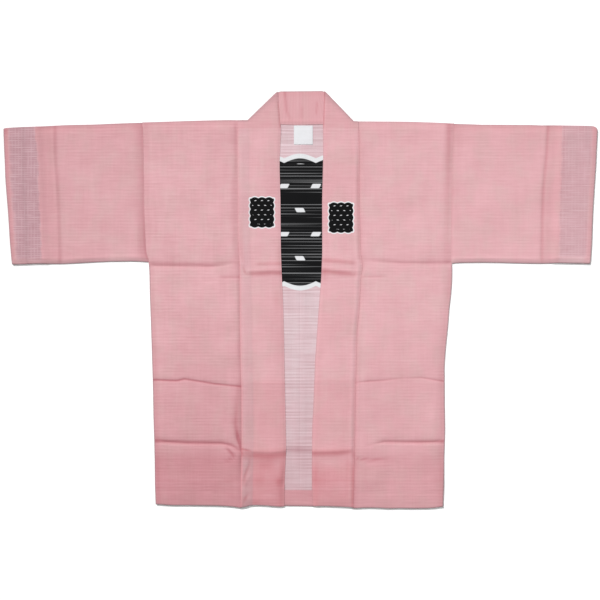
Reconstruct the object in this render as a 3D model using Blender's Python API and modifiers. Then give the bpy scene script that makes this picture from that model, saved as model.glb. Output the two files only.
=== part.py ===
"""Happi coat of thin ribbed cotton, laid flat on its back with its front up.

The coat is cut from straight lengths of narrow cloth: two body lengths, each in one piece from the
back hem over the shoulder to the front hem and joined down the centre back, two sleeves, each folded
along its top and sewn into a flat tube, and one collar band that runs up one front, round the back of
the neck and down the other front. A small blank label is sewn inside the back of the neck.

Axes: +X towards the wearer's left, +Y towards the neck, +Z up from the surface that the coat lies on.
The origin is the middle of the bounding box, on that surface.

All lengths below are in millimetres. A drop is a distance down from the shoulder line, and a reach is
a distance out from the centre back, towards either side.
"""

import math
from typing import Callable, NamedTuple, Sequence

import bmesh
import bpy
from mathutils import Vector

MM = 0.001

# ---- Driving dimensions ----
SHOULDER_Y = 347.6  # the shoulder line, above the middle of the bounding box
HEM_DROP = 750.0  # the level that the hem tables vary around
CLOTH = 1.0  # one layer of cloth
BAND = 1.8  # the collar band, cloth folded over its own seam allowances
GAP = 0.3  # between layers, and between pieces at a seam
HEM_TURN = 31.0  # cloth turned up inside each hem
CUFF_TURN = 60.0  # cloth turned back inside each cuff
NECK_DROP = 3.0  # the straight cut across the back of the neck
LABEL_SIDE = 37.0  # the square label
LABEL_DROP = 7.6  # its top edge
LABEL_X = 6.5  # its middle, a little to the wearer's left of the centre back

# ---- Heights of the layers' middle surfaces ----
PLY = CLOTH + GAP
TURN_RADIUS = PLY / 2
FOLD_INSET = TURN_RADIUS + CLOTH / 2  # from a folded edge back to the centre of its turn
BACK_Z = CLOTH / 2
FRONT_Z = BACK_Z + PLY
FRONT_OVER_HEMS_Z = BACK_Z + 3 * PLY
BAND_RADIUS = (BAND + GAP + 0.1) / 2
BAND_INSET = BAND_RADIUS + BAND / 2
BAND_ON_TABLE_Z = BAND / 2
BAND_ON_BACK_Z = CLOTH + GAP + BAND / 2
BAND_OVER_BAND_Z = BAND_ON_TABLE_Z + 2 * BAND_RADIUS
BAND_OVER_HEM_Z = FRONT_OVER_HEMS_Z + CLOTH / 2 - BAND / 2

# ---- How finely a fold and a crease are divided ----
TURN_STEPS = 4
CREST_HALF_WIDTH = 9.0
CREST_STEPS = (-9.0, -4.5, 0.0, 4.5, 9.0)
CREASE_PULL = 60.0  # how far from a crease its wander still bends the rows
PLAIN_LEVELS = (14, 34, 63, 105, 153, 205, 250, 330, 358, 412, 460, 550, 590, 670, 690, 702, 714)


class Level(NamedTuple):
    """The reaches of a front's cut edges at one drop."""

    drop: float
    side_edge: float
    collar_seam: float
    lapel_edge: float


class SleeveLine(NamedTuple):
    """The drops of a sleeve's folded top and sewn bottom at one reach."""

    reach: float
    top: float
    bottom: float


class CuffPoint(NamedTuple):
    """How far out the cuff's edge lies at one drop."""

    drop: float
    reach: float


class Crease(NamedTuple):
    """A raised crease across a front and its lapel: its drops from side edge to lapel edge, and heights."""

    side_edge: float
    front_middle: float
    collar_seam: float
    lapel_middle: float
    lapel_edge: float
    front_height: float
    lapel_height: float


class Hem(NamedTuple):
    """A front's hem: its drops from side edge to lapel edge."""

    side_edge: float
    front_middle: float
    front_seam: float
    lapel_seam: float
    lapel_edge: float


class CollarFold(NamedTuple):
    """The slanted edge where the collar band folds under: its lower and upper ends, as x and drop."""

    low: tuple[float, float]
    high: tuple[float, float]


class Side(NamedTuple):
    """Everything that differs between the wearer's right and left halves."""

    name: str
    sign: float
    levels: Sequence[Level]
    shoulder_fall: tuple[float, float]
    hem: Hem
    sleeve: Sequence[SleeveLine]
    cuff: Sequence[CuffPoint]
    creases: Sequence[Crease]
    collar_fold: CollarFold


RIGHT = Side(
    name="right",
    sign=-1.0,
    levels=(
        Level(drop=0, side_edge=305.5, collar_seam=122.5, lapel_edge=40.0),
        Level(drop=63, side_edge=303.0, collar_seam=127.0, lapel_edge=38.8),
        Level(drop=153, side_edge=299.5, collar_seam=121.0, lapel_edge=36.8),
        Level(drop=270, side_edge=294.5, collar_seam=118.0, lapel_edge=35.6),
        Level(drop=395, side_edge=289.2, collar_seam=117.0, lapel_edge=31.8),
        Level(drop=504, side_edge=285.0, collar_seam=115.6, lapel_edge=29.8),
        Level(drop=630, side_edge=283.0, collar_seam=115.5, lapel_edge=26.6),
        Level(drop=754, side_edge=280.0, collar_seam=115.5, lapel_edge=30.0),
    ),
    shoulder_fall=(2.0, 0.0),
    hem=Hem(side_edge=746.5, front_middle=750.0, front_seam=753.5, lapel_seam=749.0, lapel_edge=752.0),
    sleeve=(
        SleeveLine(reach=295, top=3.1, bottom=271.2),
        SleeveLine(reach=367, top=5.4, bottom=272.0),
        SleeveLine(reach=439, top=8.2, bottom=276.1),
        SleeveLine(reach=488, top=9.8, bottom=278.2),
        SleeveLine(reach=525, top=11.3, bottom=277.5),
        SleeveLine(reach=578, top=13.5, bottom=279.0),
    ),
    cuff=(
        CuffPoint(drop=14, reach=577.7),
        CuffPoint(drop=98, reach=573.2),
        CuffPoint(drop=158, reach=570.1),
        CuffPoint(drop=229, reach=565.2),
        CuffPoint(drop=279, reach=559.3),
    ),
    creases=(
        Crease(282, 283, 290, 296, 293, front_height=1.6, lapel_height=1.2),
        Crease(502, 504, 514, 512, 512, front_height=0.9, lapel_height=0.7),
        Crease(623, 627, 641, 646, 643, front_height=2.0, lapel_height=1.6),
    ),
    collar_fold=CollarFold(low=(-102.0, -0.6), high=(-44.5, -57.4)),
)

LEFT = Side(
    name="left",
    sign=1.0,
    levels=(
        Level(drop=0, side_edge=300.5, collar_seam=114.0, lapel_edge=44.0),
        Level(drop=63, side_edge=299.2, collar_seam=115.8, lapel_edge=44.7),
        Level(drop=153, side_edge=297.2, collar_seam=116.0, lapel_edge=42.5),
        Level(drop=255, side_edge=295.0, collar_seam=118.3, lapel_edge=42.4),
        Level(drop=284, side_edge=294.5, collar_seam=124.5, lapel_edge=41.3),
        Level(drop=304, side_edge=293.8, collar_seam=118.5, lapel_edge=40.6),
        Level(drop=358, side_edge=290.0, collar_seam=116.3, lapel_edge=37.4),
        Level(drop=412, side_edge=285.0, collar_seam=111.2, lapel_edge=33.7),
        Level(drop=504, side_edge=280.5, collar_seam=108.7, lapel_edge=29.3),
        Level(drop=650, side_edge=280.8, collar_seam=106.5, lapel_edge=23.4),
        Level(drop=754, side_edge=278.5, collar_seam=104.0, lapel_edge=24.8),
    ),
    shoulder_fall=(3.9, 1.6),
    hem=Hem(side_edge=752.5, front_middle=754.4, front_seam=752.5, lapel_seam=752.0, lapel_edge=747.0),
    sleeve=(
        SleeveLine(reach=295, top=8.4, bottom=275.9),
        SleeveLine(reach=449, top=8.0, bottom=275.1),
        SleeveLine(reach=507, top=9.6, bottom=276.5),
        SleeveLine(reach=560, top=10.9, bottom=278.0),
        SleeveLine(reach=578, top=14.0, bottom=278.2),
    ),
    cuff=(
        CuffPoint(drop=14, reach=577.7),
        CuffPoint(drop=98, reach=574.8),
        CuffPoint(drop=158, reach=571.6),
        CuffPoint(drop=219, reach=569.7),
        CuffPoint(drop=278, reach=565.0),
    ),
    creases=(
        Crease(276, 274, 272, 276, 273, front_height=1.6, lapel_height=1.1),
        Crease(300, 300, 300, 296, 290, front_height=0.0, lapel_height=1.1),
        Crease(508, 501, 510, 508, 506, front_height=0.8, lapel_height=0.7),
        Crease(624, 625, 641, 645, 646, front_height=2.0, lapel_height=1.6),
    ),
    collar_fold=CollarFold(low=(105.5, 1.0), high=(49.5, -59.1)),
)

BACK_HEM = 747.0

# ---- Finishes: sRGB colour and roughness ----
PRINTED_COTTON = ("e0aeb3", 0.85)
SLEEVE_COTTON = ("dfadb2", 0.85)
COLLAR_COTTON = ("e1adb2", 0.85)
LABEL_COTTON = ("f0f0f2", 0.80)

Point = tuple[float, float, float]


def between(points: Sequence[tuple[float, float]], at: float) -> float:
    """Reads a value between listed points, holding the end values beyond them."""
    if at <= points[0][0]:
        return points[0][1]
    for (start, low), (end, high) in zip(points, points[1:]):
        if at <= end:
            return low + (high - low) * (at - start) / (end - start)
    return points[-1][1]


def reading(table: Sequence[tuple], key: str, value: str, at: float) -> float:
    """Reads the named value of a table between its rows."""
    return between([(getattr(row, key), getattr(row, value)) for row in table], at)


def blend(first: float, second: float, share: float) -> float:
    return first + (second - first) * share


def eased(share: float) -> float:
    """A share from 0 to 1 with a soft start and a soft end."""
    share = min(max(share, 0.0), 1.0)
    return share * share * (3.0 - 2.0 * share)


def crest(distance: float) -> float:
    """The cross-section of a crease: 1 along its line, 0 from its half width outwards."""
    share = min(abs(distance) / CREST_HALF_WIDTH, 1.0)
    return 0.5 + 0.5 * math.cos(math.pi * share)


def turn_angles(start: float, end: float) -> list[float]:
    """The angles between the two ends of a fold, in radians, without the ends themselves."""
    return [math.radians(blend(start, end, step / TURN_STEPS)) for step in range(1, TURN_STEPS)]


def front_line(drops: Sequence[float], share: float) -> float:
    """Reads a line across one front, at -1 on the side edge, 0 on the collar seam, 1 on the lapel edge."""
    return between(list(zip((-1.0, -0.5, 0.0, 0.5, 1.0), drops)), share)


def led_by_creases(level: float, share: float, creases: Sequence[Crease]) -> float:
    """A row's drop at a share across the front: it keeps its level at the seam and follows the creases."""
    drop = level
    for crease in creases:
        wander = front_line(crease[:5], share) - crease.collar_seam
        drop += wander * max(0.0, 1.0 - abs(level - crease.collar_seam) / CREASE_PULL)
    return drop


def crease_rise(level: float, height: str, creases: Sequence[Crease]) -> float:
    """How far the creases lift a row of a front or of a lapel."""
    return sum(getattr(crease, height) * crest(level - crease.collar_seam) for crease in creases)


def front_levels(side: Side) -> list[float]:
    """The levels of a front's rows, the same for the body and for its lapel so that their seam fits."""
    close = [crease.collar_seam + step for crease in side.creases for step in CREST_STEPS]
    clear = [level for level in PLAIN_LEVELS if all(abs(level - other) > 4.0 for other in close)]
    return sorted(close + clear)


def linear(hex_colour: str) -> tuple[float, float, float, float]:
    """An sRGB hex colour as the linear values that a shader takes."""
    parts = [int(hex_colour[i : i + 2], 16) / 255 for i in (0, 2, 4)]
    made = [part / 12.92 if part <= 0.04045 else ((part + 0.055) / 1.055) ** 2.4 for part in parts]
    return (made[0], made[1], made[2], 1.0)


def finish(name: str, hex_colour: str, roughness: float) -> bpy.types.Material:
    """A plain woven finish."""
    material = bpy.data.materials.new(name)
    material.use_nodes = True
    shader = material.node_tree.nodes["Principled BSDF"]
    shader.inputs["Base Color"].default_value = linear(hex_colour)
    shader.inputs["Roughness"].default_value = roughness
    shader.inputs["Metallic"].default_value = 0.0
    return material


def cloth(
    name: str,
    rows: int,
    columns: int,
    place: Callable[[int, int], Point],
    keep: Callable[[int, int], bool],
    wall: float,
    material: bpy.types.Material,
    group: bpy.types.Collection,
) -> None:
    """One piece of cloth: a grid of points put in place, its unwanted faces cut away, and a wall.

    place gives the middle surface's point for a row and a column, as x, drop and z.
    keep says whether the face that starts at a row and a column stays.
    """
    mesh = bmesh.new()
    bmesh.ops.create_grid(mesh, x_segments=rows, y_segments=columns, size=1.0)
    index = {
        vertex: (
            round((vertex.co.x + 1) / 2 * rows),
            round((vertex.co.y + 1) / 2 * columns),
        )
        for vertex in mesh.verts
    }
    cut_away = [
        face
        for face in mesh.faces
        if not keep(min(index[v][0] for v in face.verts), min(index[v][1] for v in face.verts))
    ]
    for vertex, (row, column) in index.items():
        x, drop, z = place(row, column)
        vertex.co = Vector((x, SHOULDER_Y - drop, z)) * MM
    bmesh.ops.delete(mesh, geom=cut_away, context="FACES")
    bmesh.ops.remove_doubles(mesh, verts=mesh.verts, dist=1e-6)
    bmesh.ops.recalc_face_normals(mesh, faces=mesh.faces)
    data = bpy.data.meshes.new(name)
    mesh.to_mesh(data)
    mesh.free()
    data.shade_smooth()
    data.materials.append(material)
    piece = bpy.data.objects.new(name, data)
    group.objects.link(piece)
    thickness = piece.modifiers.new("Cloth wall", "SOLIDIFY")
    thickness.thickness = wall * MM
    thickness.offset = 0.0
    thickness.use_even_offset = True
    thickness.use_rim = True


def near_hem(level: float) -> float:
    """How much of the hem's wander a row takes: none 60 mm above the hem, all of it at the hem."""
    return eased((level - HEM_DROP + 60.0) / 60.0)


def over_hems(level: float) -> float:
    """How far a row has climbed onto the turned-up hems."""
    return eased((level - HEM_DROP + 62.0) / 24.0)


class BodyRow(NamedTuple):
    """One row of points across a body length."""

    drop: float
    z: float
    front: bool


PLAIN_BACK_DROPS = (700, 650, 590, 504, 412, 358, 300, 270, 210, 153, 105, 63, 30, NECK_DROP)
BODY_FRONT_COLUMNS = 6  # from the side edge to the collar seam
BODY_BACK_COLUMNS = 2  # from the collar seam's line on to the centre back


def body_rows(side: Side) -> list[BodyRow]:
    """The rows from the back hem's turned edge, up the back, over the shoulder, down to the front's."""
    hem_centre = HEM_DROP - FOLD_INSET
    back_turn_z = (BACK_Z + FRONT_Z) / 2
    front_turn_z = FRONT_OVER_HEMS_Z - TURN_RADIUS
    rows = [BodyRow(HEM_DROP - HEM_TURN, FRONT_Z, False), BodyRow(hem_centre, FRONT_Z, False)]
    for angle in turn_angles(90, -90):
        drop = hem_centre + TURN_RADIUS * math.cos(angle)
        rows.append(BodyRow(drop, back_turn_z + TURN_RADIUS * math.sin(angle), False))
    rows += [BodyRow(drop, BACK_Z, False) for drop in (hem_centre, *PLAIN_BACK_DROPS, FOLD_INSET)]
    for angle in turn_angles(-90, 90):
        drop = FOLD_INSET - TURN_RADIUS * math.cos(angle)
        rows.append(BodyRow(drop, back_turn_z + TURN_RADIUS * math.sin(angle), False))
    for drop in (FOLD_INSET, *front_levels(side), hem_centre):
        rows.append(BodyRow(drop, blend(FRONT_Z, FRONT_OVER_HEMS_Z, over_hems(drop)), True))
    for angle in turn_angles(90, -90):
        drop = hem_centre + TURN_RADIUS * math.cos(angle)
        rows.append(BodyRow(drop, front_turn_z + TURN_RADIUS * math.sin(angle), True))
    lower_z = front_turn_z - TURN_RADIUS
    rows += [BodyRow(hem_centre, lower_z, True), BodyRow(HEM_DROP - HEM_TURN, lower_z, True)]
    return rows


def neck_fall(side: Side) -> float:
    """How much further down the neck cut is where it meets the shoulder than at the centre back."""
    return side.shoulder_fall[1] * (1.0 - eased(NECK_DROP / 40.0))


def body_length(side: Side, material: bpy.types.Material, group: bpy.types.Collection) -> None:
    """One body length, from its back hem over the shoulder to its front hem."""
    rows = body_rows(side)
    neck_row = next(i for i, row in enumerate(rows) if row.z == BACK_Z and row.drop == NECK_DROP)
    last_column = BODY_FRONT_COLUMNS + BODY_BACK_COLUMNS
    first_front_row = next(i for i, row in enumerate(rows) if row.front)
    last_outer_row = len(rows) - TURN_STEPS - 2

    def place(row_number: int, column: int) -> Point:
        row = rows[row_number]
        across = min(column / BODY_FRONT_COLUMNS, 1.0)
        drop, z = row.drop, row.z
        if first_front_row < row_number < last_outer_row:
            drop = led_by_creases(row.drop, across - 1.0, side.creases)
            z += crease_rise(row.drop, "front_height", side.creases)
        front_hem = between(list(zip((0.0, 0.5, 1.0), side.hem)), across)
        hem = front_hem if row.front else BACK_HEM
        drop += (hem - HEM_DROP) * near_hem(row.drop)
        fall = blend(*side.shoulder_fall, across)
        if column > BODY_FRONT_COLUMNS:
            fall *= 1.0 - (column - BODY_FRONT_COLUMNS) / BODY_BACK_COLUMNS
        drop += fall * (1.0 - eased(row.drop / 40.0))
        edge = reading(side.levels, "drop", "side_edge", drop) - GAP / 2
        seam = reading(side.levels, "drop", "collar_seam", drop) + GAP / 2
        if column <= BODY_FRONT_COLUMNS:
            reach = blend(edge, seam, across)
        else:
            reach = blend(seam, GAP / 2, (column - BODY_FRONT_COLUMNS) / BODY_BACK_COLUMNS)
        return side.sign * reach, drop, z

    cloth(
        f"body_{side.name}",
        rows=len(rows) - 1,
        columns=last_column,
        place=place,
        keep=lambda row, column: row < neck_row or column < BODY_FRONT_COLUMNS,
        wall=CLOTH,
        material=material,
        group=group,
    )


class Ring(NamedTuple):
    """One ring of points round a sleeve: its share of the way from armhole to cuff, and its heights."""

    share: float
    inset: float
    half_height: float
    outer_half_height: float
    rise: float


PLAIN_RING_SHARES = (0.0, 0.06, 0.2, 0.35, 0.5, 0.585)
SLEEVE_CREASE_SHARE = 0.65
SLEEVE_CREASE_HEIGHT = 1.6
SLEEVE_LENGTH = 270.0  # armhole to cuff, for turning lengths into shares
FLAT_STEPS = 6  # across the back or the front of a sleeve


def sleeve_rings() -> list[Ring]:
    """The rings from the armhole out to the cuff, round its folded edge and back inside."""
    thin = TURN_RADIUS
    thick = 3 * TURN_RADIUS
    turned = 1.0 - CUFF_TURN / SLEEVE_LENGTH
    rings = [Ring(share, 0.0, thin, thin, 0.0) for share in PLAIN_RING_SHARES]
    for step in CREST_STEPS:
        share = SLEEVE_CREASE_SHARE + step / SLEEVE_LENGTH
        rings.append(Ring(share, 0.0, thin, thin, SLEEVE_CREASE_HEIGHT * crest(step)))
    for share in (turned - 0.07, turned - 0.045, turned - 0.02, turned + 0.1, 0.995):
        half = blend(thin, thick, eased((share - turned + 0.07) / 0.05))
        rings.append(Ring(share, 0.0, half, half, 0.0))
    middle = (thin + thick) / 2
    for angle in turn_angles(0, 180):
        inset = FOLD_INSET - TURN_RADIUS * math.sin(angle)
        rings.append(Ring(1.0, inset, middle + TURN_RADIUS * math.cos(angle), thick, 0.0))
    rings += [Ring(share, 0.0, thin, thick, 0.0) for share in (0.995, turned + 0.1, turned)]
    return rings


def ring_points() -> list[tuple[float, float]]:
    """The points round a flattened tube: a share from its top to its bottom, and an angle."""
    down = [step / FLAT_STEPS for step in range(FLAT_STEPS + 1)]
    points = [(share, -math.pi / 2) for share in down]
    points += [(1.0, angle) for angle in turn_angles(-90, 90)]
    points += [(share, math.pi / 2) for share in reversed(down)]
    points += [(0.0, angle) for angle in turn_angles(90, 270)]
    return points + points[:1]


def sleeve(side: Side, material: bpy.types.Material, group: bpy.types.Collection) -> None:
    """One sleeve: a flattened tube, open at the armhole and at the cuff, with its cuff turned inside."""
    rings = sleeve_rings()
    around = ring_points()

    def place(ring_number: int, column: int) -> Point:
        ring = rings[ring_number]
        share_down, angle = around[column]
        edge = FOLD_INSET - TURN_RADIUS + ring.outer_half_height
        rough_reach = blend(300.0, 570.0, ring.share)
        top = reading(side.sleeve, "reach", "top", rough_reach) + edge
        bottom = reading(side.sleeve, "reach", "bottom", rough_reach) - edge
        drop = blend(top, bottom, share_down) + ring.half_height * math.cos(angle)
        armhole = reading(side.levels, "drop", "side_edge", drop) + GAP / 2
        cuff = reading(side.cuff, "drop", "reach", drop)
        reach = blend(armhole, cuff, ring.share) - ring.inset
        z = BACK_Z + ring.outer_half_height + ring.half_height * math.sin(angle)
        on_front = max(0.0, math.sin(angle)) ** 4
        return side.sign * reach, drop, z + ring.rise * on_front

    cloth(
        f"sleeve_{side.name}",
        rows=len(rings) - 1,
        columns=len(around) - 1,
        place=place,
        keep=lambda row, column: True,
        wall=CLOTH,
        material=material,
        group=group,
    )


BAND_SHARES = (0.0, 0.16, 0.55, 1.0)  # from the seam to the free edge
CORNER_REACH = 94.5  # where the lower layer of the band meets the neck seam
Across = list[Point]


def straight_row(seam: Sequence[float], free: Sequence[float], z: float) -> Across:
    """A row across the band between two ends, each given as x and drop."""
    return [(blend(seam[0], free[0], share), blend(seam[1], free[1], share), z) for share in BAND_SHARES]


def lapel_point(side: Side, level: float, share: float) -> Point:
    """A point of the band up one front, at a level and a share from its seam to its free edge."""
    drop = led_by_creases(level, share, side.creases)
    drop += (blend(side.hem.lapel_seam, side.hem.lapel_edge, share) - HEM_DROP) * near_hem(level)
    seam = reading(side.levels, "drop", "collar_seam", drop) - GAP / 2
    free = reading(side.levels, "drop", "lapel_edge", drop)
    z = blend(BAND_ON_BACK_Z, BAND_OVER_HEM_Z, over_hems(level))
    z = blend(z, BAND_OVER_BAND_Z, eased((45.0 - level) / 31.0))
    return side.sign * blend(seam, free, share), drop, z + crease_rise(level, "lapel_height", side.creases)


def lapel_rows(side: Side) -> list[Across]:
    """The band's rows up one front, from the hem to the corner where the seam turns round the neck."""
    levels = [*front_levels(side), HEM_DROP]
    rows = [[lapel_point(side, level, share) for share in BAND_SHARES] for level in reversed(levels)]
    seam_row, fold = rows[-1], fold_row(side, -BAND_INSET, BAND_OVER_BAND_Z)
    for share in (0.35, 0.7):
        rows.append([tuple(Vector(a).lerp(Vector(b), share)) for a, b in zip(seam_row, fold)])
    return rows


def fold_row(side: Side, out: float, z: float) -> Across:
    """A row across the band along its fold: over the shoulder, then on a slant up beside the neck.

    The folded edge itself is at out = 0, and a negative distance is inside it.
    """
    low, high = (Vector(end) for end in side.collar_fold)
    along = (high - low).normalized()
    off_slant = Vector((-along.y, along.x)) * side.sign
    off_shoulder = Vector((0.0, -1.0))
    off_bend = (off_slant + off_shoulder) / (1.0 + off_slant.dot(off_shoulder))
    seam = side.sign * (reading(side.levels, "drop", "collar_seam", 0.0) - GAP / 2)
    ends = (
        (Vector((seam, low.y)), off_shoulder),
        (low, off_bend),
        (low.lerp(high, 0.46), off_slant),
        (high, off_slant),
    )
    return [(*(point + off * out), z) for point, off in ends]


def fold_rows(side: Side) -> list[Across]:
    """The band's rows round its fold, from the upper layer to the lower one."""
    middle_z = (BAND_OVER_BAND_Z + BAND_ON_TABLE_Z) / 2
    rows = []
    for angle in [0.0, *turn_angles(0, 180), math.pi]:
        out = BAND_RADIUS * math.sin(angle) - BAND_INSET
        rows.append(fold_row(side, out, middle_z + BAND_RADIUS * math.cos(angle)))
    return rows


def neck_seam_drop(x: float) -> float:
    """How far down the band's seam edge lies at the back of the neck, a gap above the body lengths."""
    side = RIGHT if x < 0.0 else LEFT
    return NECK_DROP - GAP + neck_fall(side) * abs(x) / side.levels[0].collar_seam


def neck_rows() -> list[Across]:
    """The band's rows along the back of the neck, between the two folds, from right to left."""
    right_top, left_top = RIGHT.collar_fold.high[1], LEFT.collar_fold.high[1]
    rows = []
    for share, lean in ((0.04, 26.0), (0.16, 10.0), (0.36, 0.0), (0.64, 0.0), (0.84, -10.0), (0.96, -26.0)):
        free_x = blend(-41.0, 46.5, share)
        free = (free_x, blend(right_top, left_top, share))
        seam = (free_x - lean, neck_seam_drop(free_x - lean))
        rows.append(straight_row(seam, free, BAND_ON_TABLE_Z))
    right, left = (corner_row(side, row) for side, row in ((RIGHT, rows[0]), (LEFT, rows[-1])))
    return [right, *rows, left]


def corner_row(side: Side, neck_row: Across) -> Across:
    """The row of the band's lower layer in the corner between its fold and the neck seam."""
    fold = fold_row(side, -BAND_INSET, BAND_ON_TABLE_Z)
    row = [tuple(Vector(a).lerp(Vector(b), 0.35)) for a, b in zip(fold, neck_row)]
    seam_x = side.sign * CORNER_REACH
    seam_drop = neck_seam_drop(seam_x)
    row[0] = (seam_x, seam_drop, BAND_ON_TABLE_Z)
    row[1] = (seam_x - side.sign * 0.3, seam_drop - 0.8, BAND_ON_TABLE_Z)
    return row


def collar(material: bpy.types.Material, group: bpy.types.Collection) -> None:
    """The collar band, one folded strip from the right front hem round the neck to the left front hem."""
    right = lapel_rows(RIGHT) + fold_rows(RIGHT)
    left = lapel_rows(LEFT) + fold_rows(LEFT)
    rows = right + neck_rows() + left[::-1]
    cloth(
        "collar",
        rows=len(rows) - 1,
        columns=len(BAND_SHARES) - 1,
        place=lambda row, column: rows[row][column],
        keep=lambda row, column: True,
        wall=BAND,
        material=material,
        group=group,
    )


def neck_label(material: bpy.types.Material, group: bpy.types.Collection) -> None:
    """The square label inside the back of the neck, lying on both body lengths."""
    steps = 2

    def place(row: int, column: int) -> Point:
        x = LABEL_X + LABEL_SIDE * (row / steps - 0.5)
        return x, LABEL_DROP + LABEL_SIDE * column / steps, FRONT_Z

    cloth(
        "neck_label",
        rows=steps,
        columns=steps,
        place=place,
        keep=lambda row, column: True,
        wall=CLOTH,
        material=material,
        group=group,
    )


def main() -> None:
    for old in list(bpy.data.objects):
        bpy.data.objects.remove(old, do_unlink=True)
    group = bpy.data.collections.new("happi_coat")
    bpy.context.scene.collection.children.link(group)
    body_cotton = finish("Body cotton", *PRINTED_COTTON)
    sleeve_cotton = finish("Sleeve cotton", *SLEEVE_COTTON)
    for side in (RIGHT, LEFT):
        body_length(side, body_cotton, group)
        sleeve(side, sleeve_cotton, group)
    collar(finish("Collar cotton", *COLLAR_COTTON), group)
    neck_label(finish("Label cotton", *LABEL_COTTON), group)


main()
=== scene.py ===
"""A happi coat of ribbed printed cotton, laid flat with its front up and its sleeves out.

Lengths are in millimetres until a mesh is made, which turns them into metres. A place on the coat
is given as x, from the wearer's right (minus) to the left (plus), and drop, the distance down from
the shoulder line. Heights are above the surface that the coat lies on.
"""

import itertools
import logging
import math
from collections.abc import Callable, Mapping, Sequence
from dataclasses import dataclass, field
from enum import Enum
from functools import partial

import bmesh
import bpy
import numpy as np
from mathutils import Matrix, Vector


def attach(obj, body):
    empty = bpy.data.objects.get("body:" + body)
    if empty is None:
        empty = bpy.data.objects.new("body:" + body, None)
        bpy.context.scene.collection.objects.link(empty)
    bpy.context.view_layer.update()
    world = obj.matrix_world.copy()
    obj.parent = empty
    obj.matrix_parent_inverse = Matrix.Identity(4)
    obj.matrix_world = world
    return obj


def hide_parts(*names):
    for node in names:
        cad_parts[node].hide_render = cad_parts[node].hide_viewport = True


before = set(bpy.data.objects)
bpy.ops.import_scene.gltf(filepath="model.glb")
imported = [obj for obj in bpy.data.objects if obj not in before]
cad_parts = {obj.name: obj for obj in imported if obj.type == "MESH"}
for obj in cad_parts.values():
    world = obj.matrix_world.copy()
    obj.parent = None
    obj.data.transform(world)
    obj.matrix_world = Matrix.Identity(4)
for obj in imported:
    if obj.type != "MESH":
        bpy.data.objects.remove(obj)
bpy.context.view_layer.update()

LOG = logging.getLogger("happi_coat")

Array = np.ndarray
Table = tuple[tuple[float, float], ...]
Socket = bpy.types.NodeSocket
Add = Callable[..., Socket]  # node, for one material

MM = 0.001
SHOULDER_Y = 347.6  # from the middle of the coat up to its shoulder line
HEM_DROP = 750.0
NECK_DROP = 3.0  # the straight cut across the back of the neck
HEM_TURN = 31.0
HEM_TOP = HEM_DROP - HEM_TURN  # where the turned-up hems end
ARMPIT_DROP = 272.0
CUFF_TURN = 60.0
TURN_RADIUS = 0.65  # of the middle of the cloth round a pressed fold
FOLD_INSET = 1.15
BACK_Z, FRONT_Z, FRONT_OVER_HEMS_Z = 0.5, 1.8, 4.4
BACK_TURN_Z, FRONT_TURN_Z = 1.8, 3.1
BAND_RADIUS, BAND_INSET = 1.1, 2.0
BAND_ON_TABLE_Z, BAND_ON_BACK_Z, BAND_OVER_BAND_Z, BAND_OVER_HEM_Z = 0.9, 2.2, 3.1, 4.0
CLOTH_WALL = 0.8
BAND_WALL = 1.5  # the band is doubled cloth
BAND_WIDTH = 84.0  # for turning shares across the band into lengths
PLY_CLEARANCE = 0.95  # the least distance between the middles of two plies of cloth
SHARP_EDGE = math.radians(48)
OFF_PRINT = 5000.0  # a place on the cloth that no printed motif reaches


# ---- Reading sizes ----


def eased(share: Array | float) -> Array:
    """A share held between 0 and 1, with a soft start and a soft end."""
    held = np.clip(share, 0, 1)
    return held * held * (3 - 2 * held)


def rises(value: Array | float, length: float, start: float = 0.0) -> Array:
    """Goes softly from 0 at the start to 1 a length beyond it."""
    return eased((value - start) / length)


def falls(value: Array | float, length: float, start: float = 0.0) -> Array:
    """Goes softly from 1 at the start to 0 a length beyond it."""
    return 1 - rises(value, length, start)


def ends(value: Array | float, length: float, end: float) -> Array:
    """Goes softly from 1 a length before the end to 0 at the end."""
    return eased((end - value) / length)


def blend(first: Array | float, second: Array | float, share: Array | float) -> Array:
    """The value that lies a share of the way from the first to the second."""
    return first + (second - first) * share


def bell(value: Array | float, width: float, centre: float = 0.0) -> Array:
    """A soft bump, 1 at its centre and about a third a width away."""
    return np.exp(-(((value - centre) / width) ** 2))


def reading(table: Table, at: Array, spread: float = 5.0) -> Array:
    """Reads a table of places and values.

    Args:
        table: the places, rising, each with its value.
        at: the places to read.
        spread: how far the reading is averaged on each side, so that the line has no corners.

    Returns:
        The value at each place.
    """
    places, values = np.array(table, float).T
    steps = (-1.0, -0.5, 0.0, 0.5, 1.0)
    return sum(np.interp(at + step * spread, places, values) for step in steps) / len(steps)


def spaced(start: float, end: float, step: float, close: Sequence[tuple[float, float, float]] = ()) -> Array:
    """Places from start to end, closer together where detail needs them.

    Args:
        start: the first place.
        end: the last place, which may be lower than the first.
        step: the distance between places.
        close: middles, half widths and steps of the stretches with finer steps.

    Returns:
        The places in order.
    """
    low, high = min(start, end), max(start, end)
    fine = np.linspace(low, high, int((high - low) / 0.25) + 1)
    density = np.full(fine.shape, 1 / step)
    for middle, half, closer in close:
        density += (1 / closer - 1 / step) * rises(half - np.abs(fine - middle), 0.3 * half)
    total = np.concatenate([[0.0], np.cumsum((density[1:] + density[:-1]) / 2 * np.diff(fine))])
    places = np.interp(np.linspace(0, total[-1], int(round(total[-1])) + 1), total, fine)
    return places if end > start else places[::-1]


def turn(start: float, end: float, steps: int = 6) -> Array:
    """The angles of a fold between its two ends, in degrees turned to radians, without the ends."""
    return np.radians(np.linspace(start, end, steps + 1)[1:-1])


# ---- The lie of the cloth ----


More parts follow.
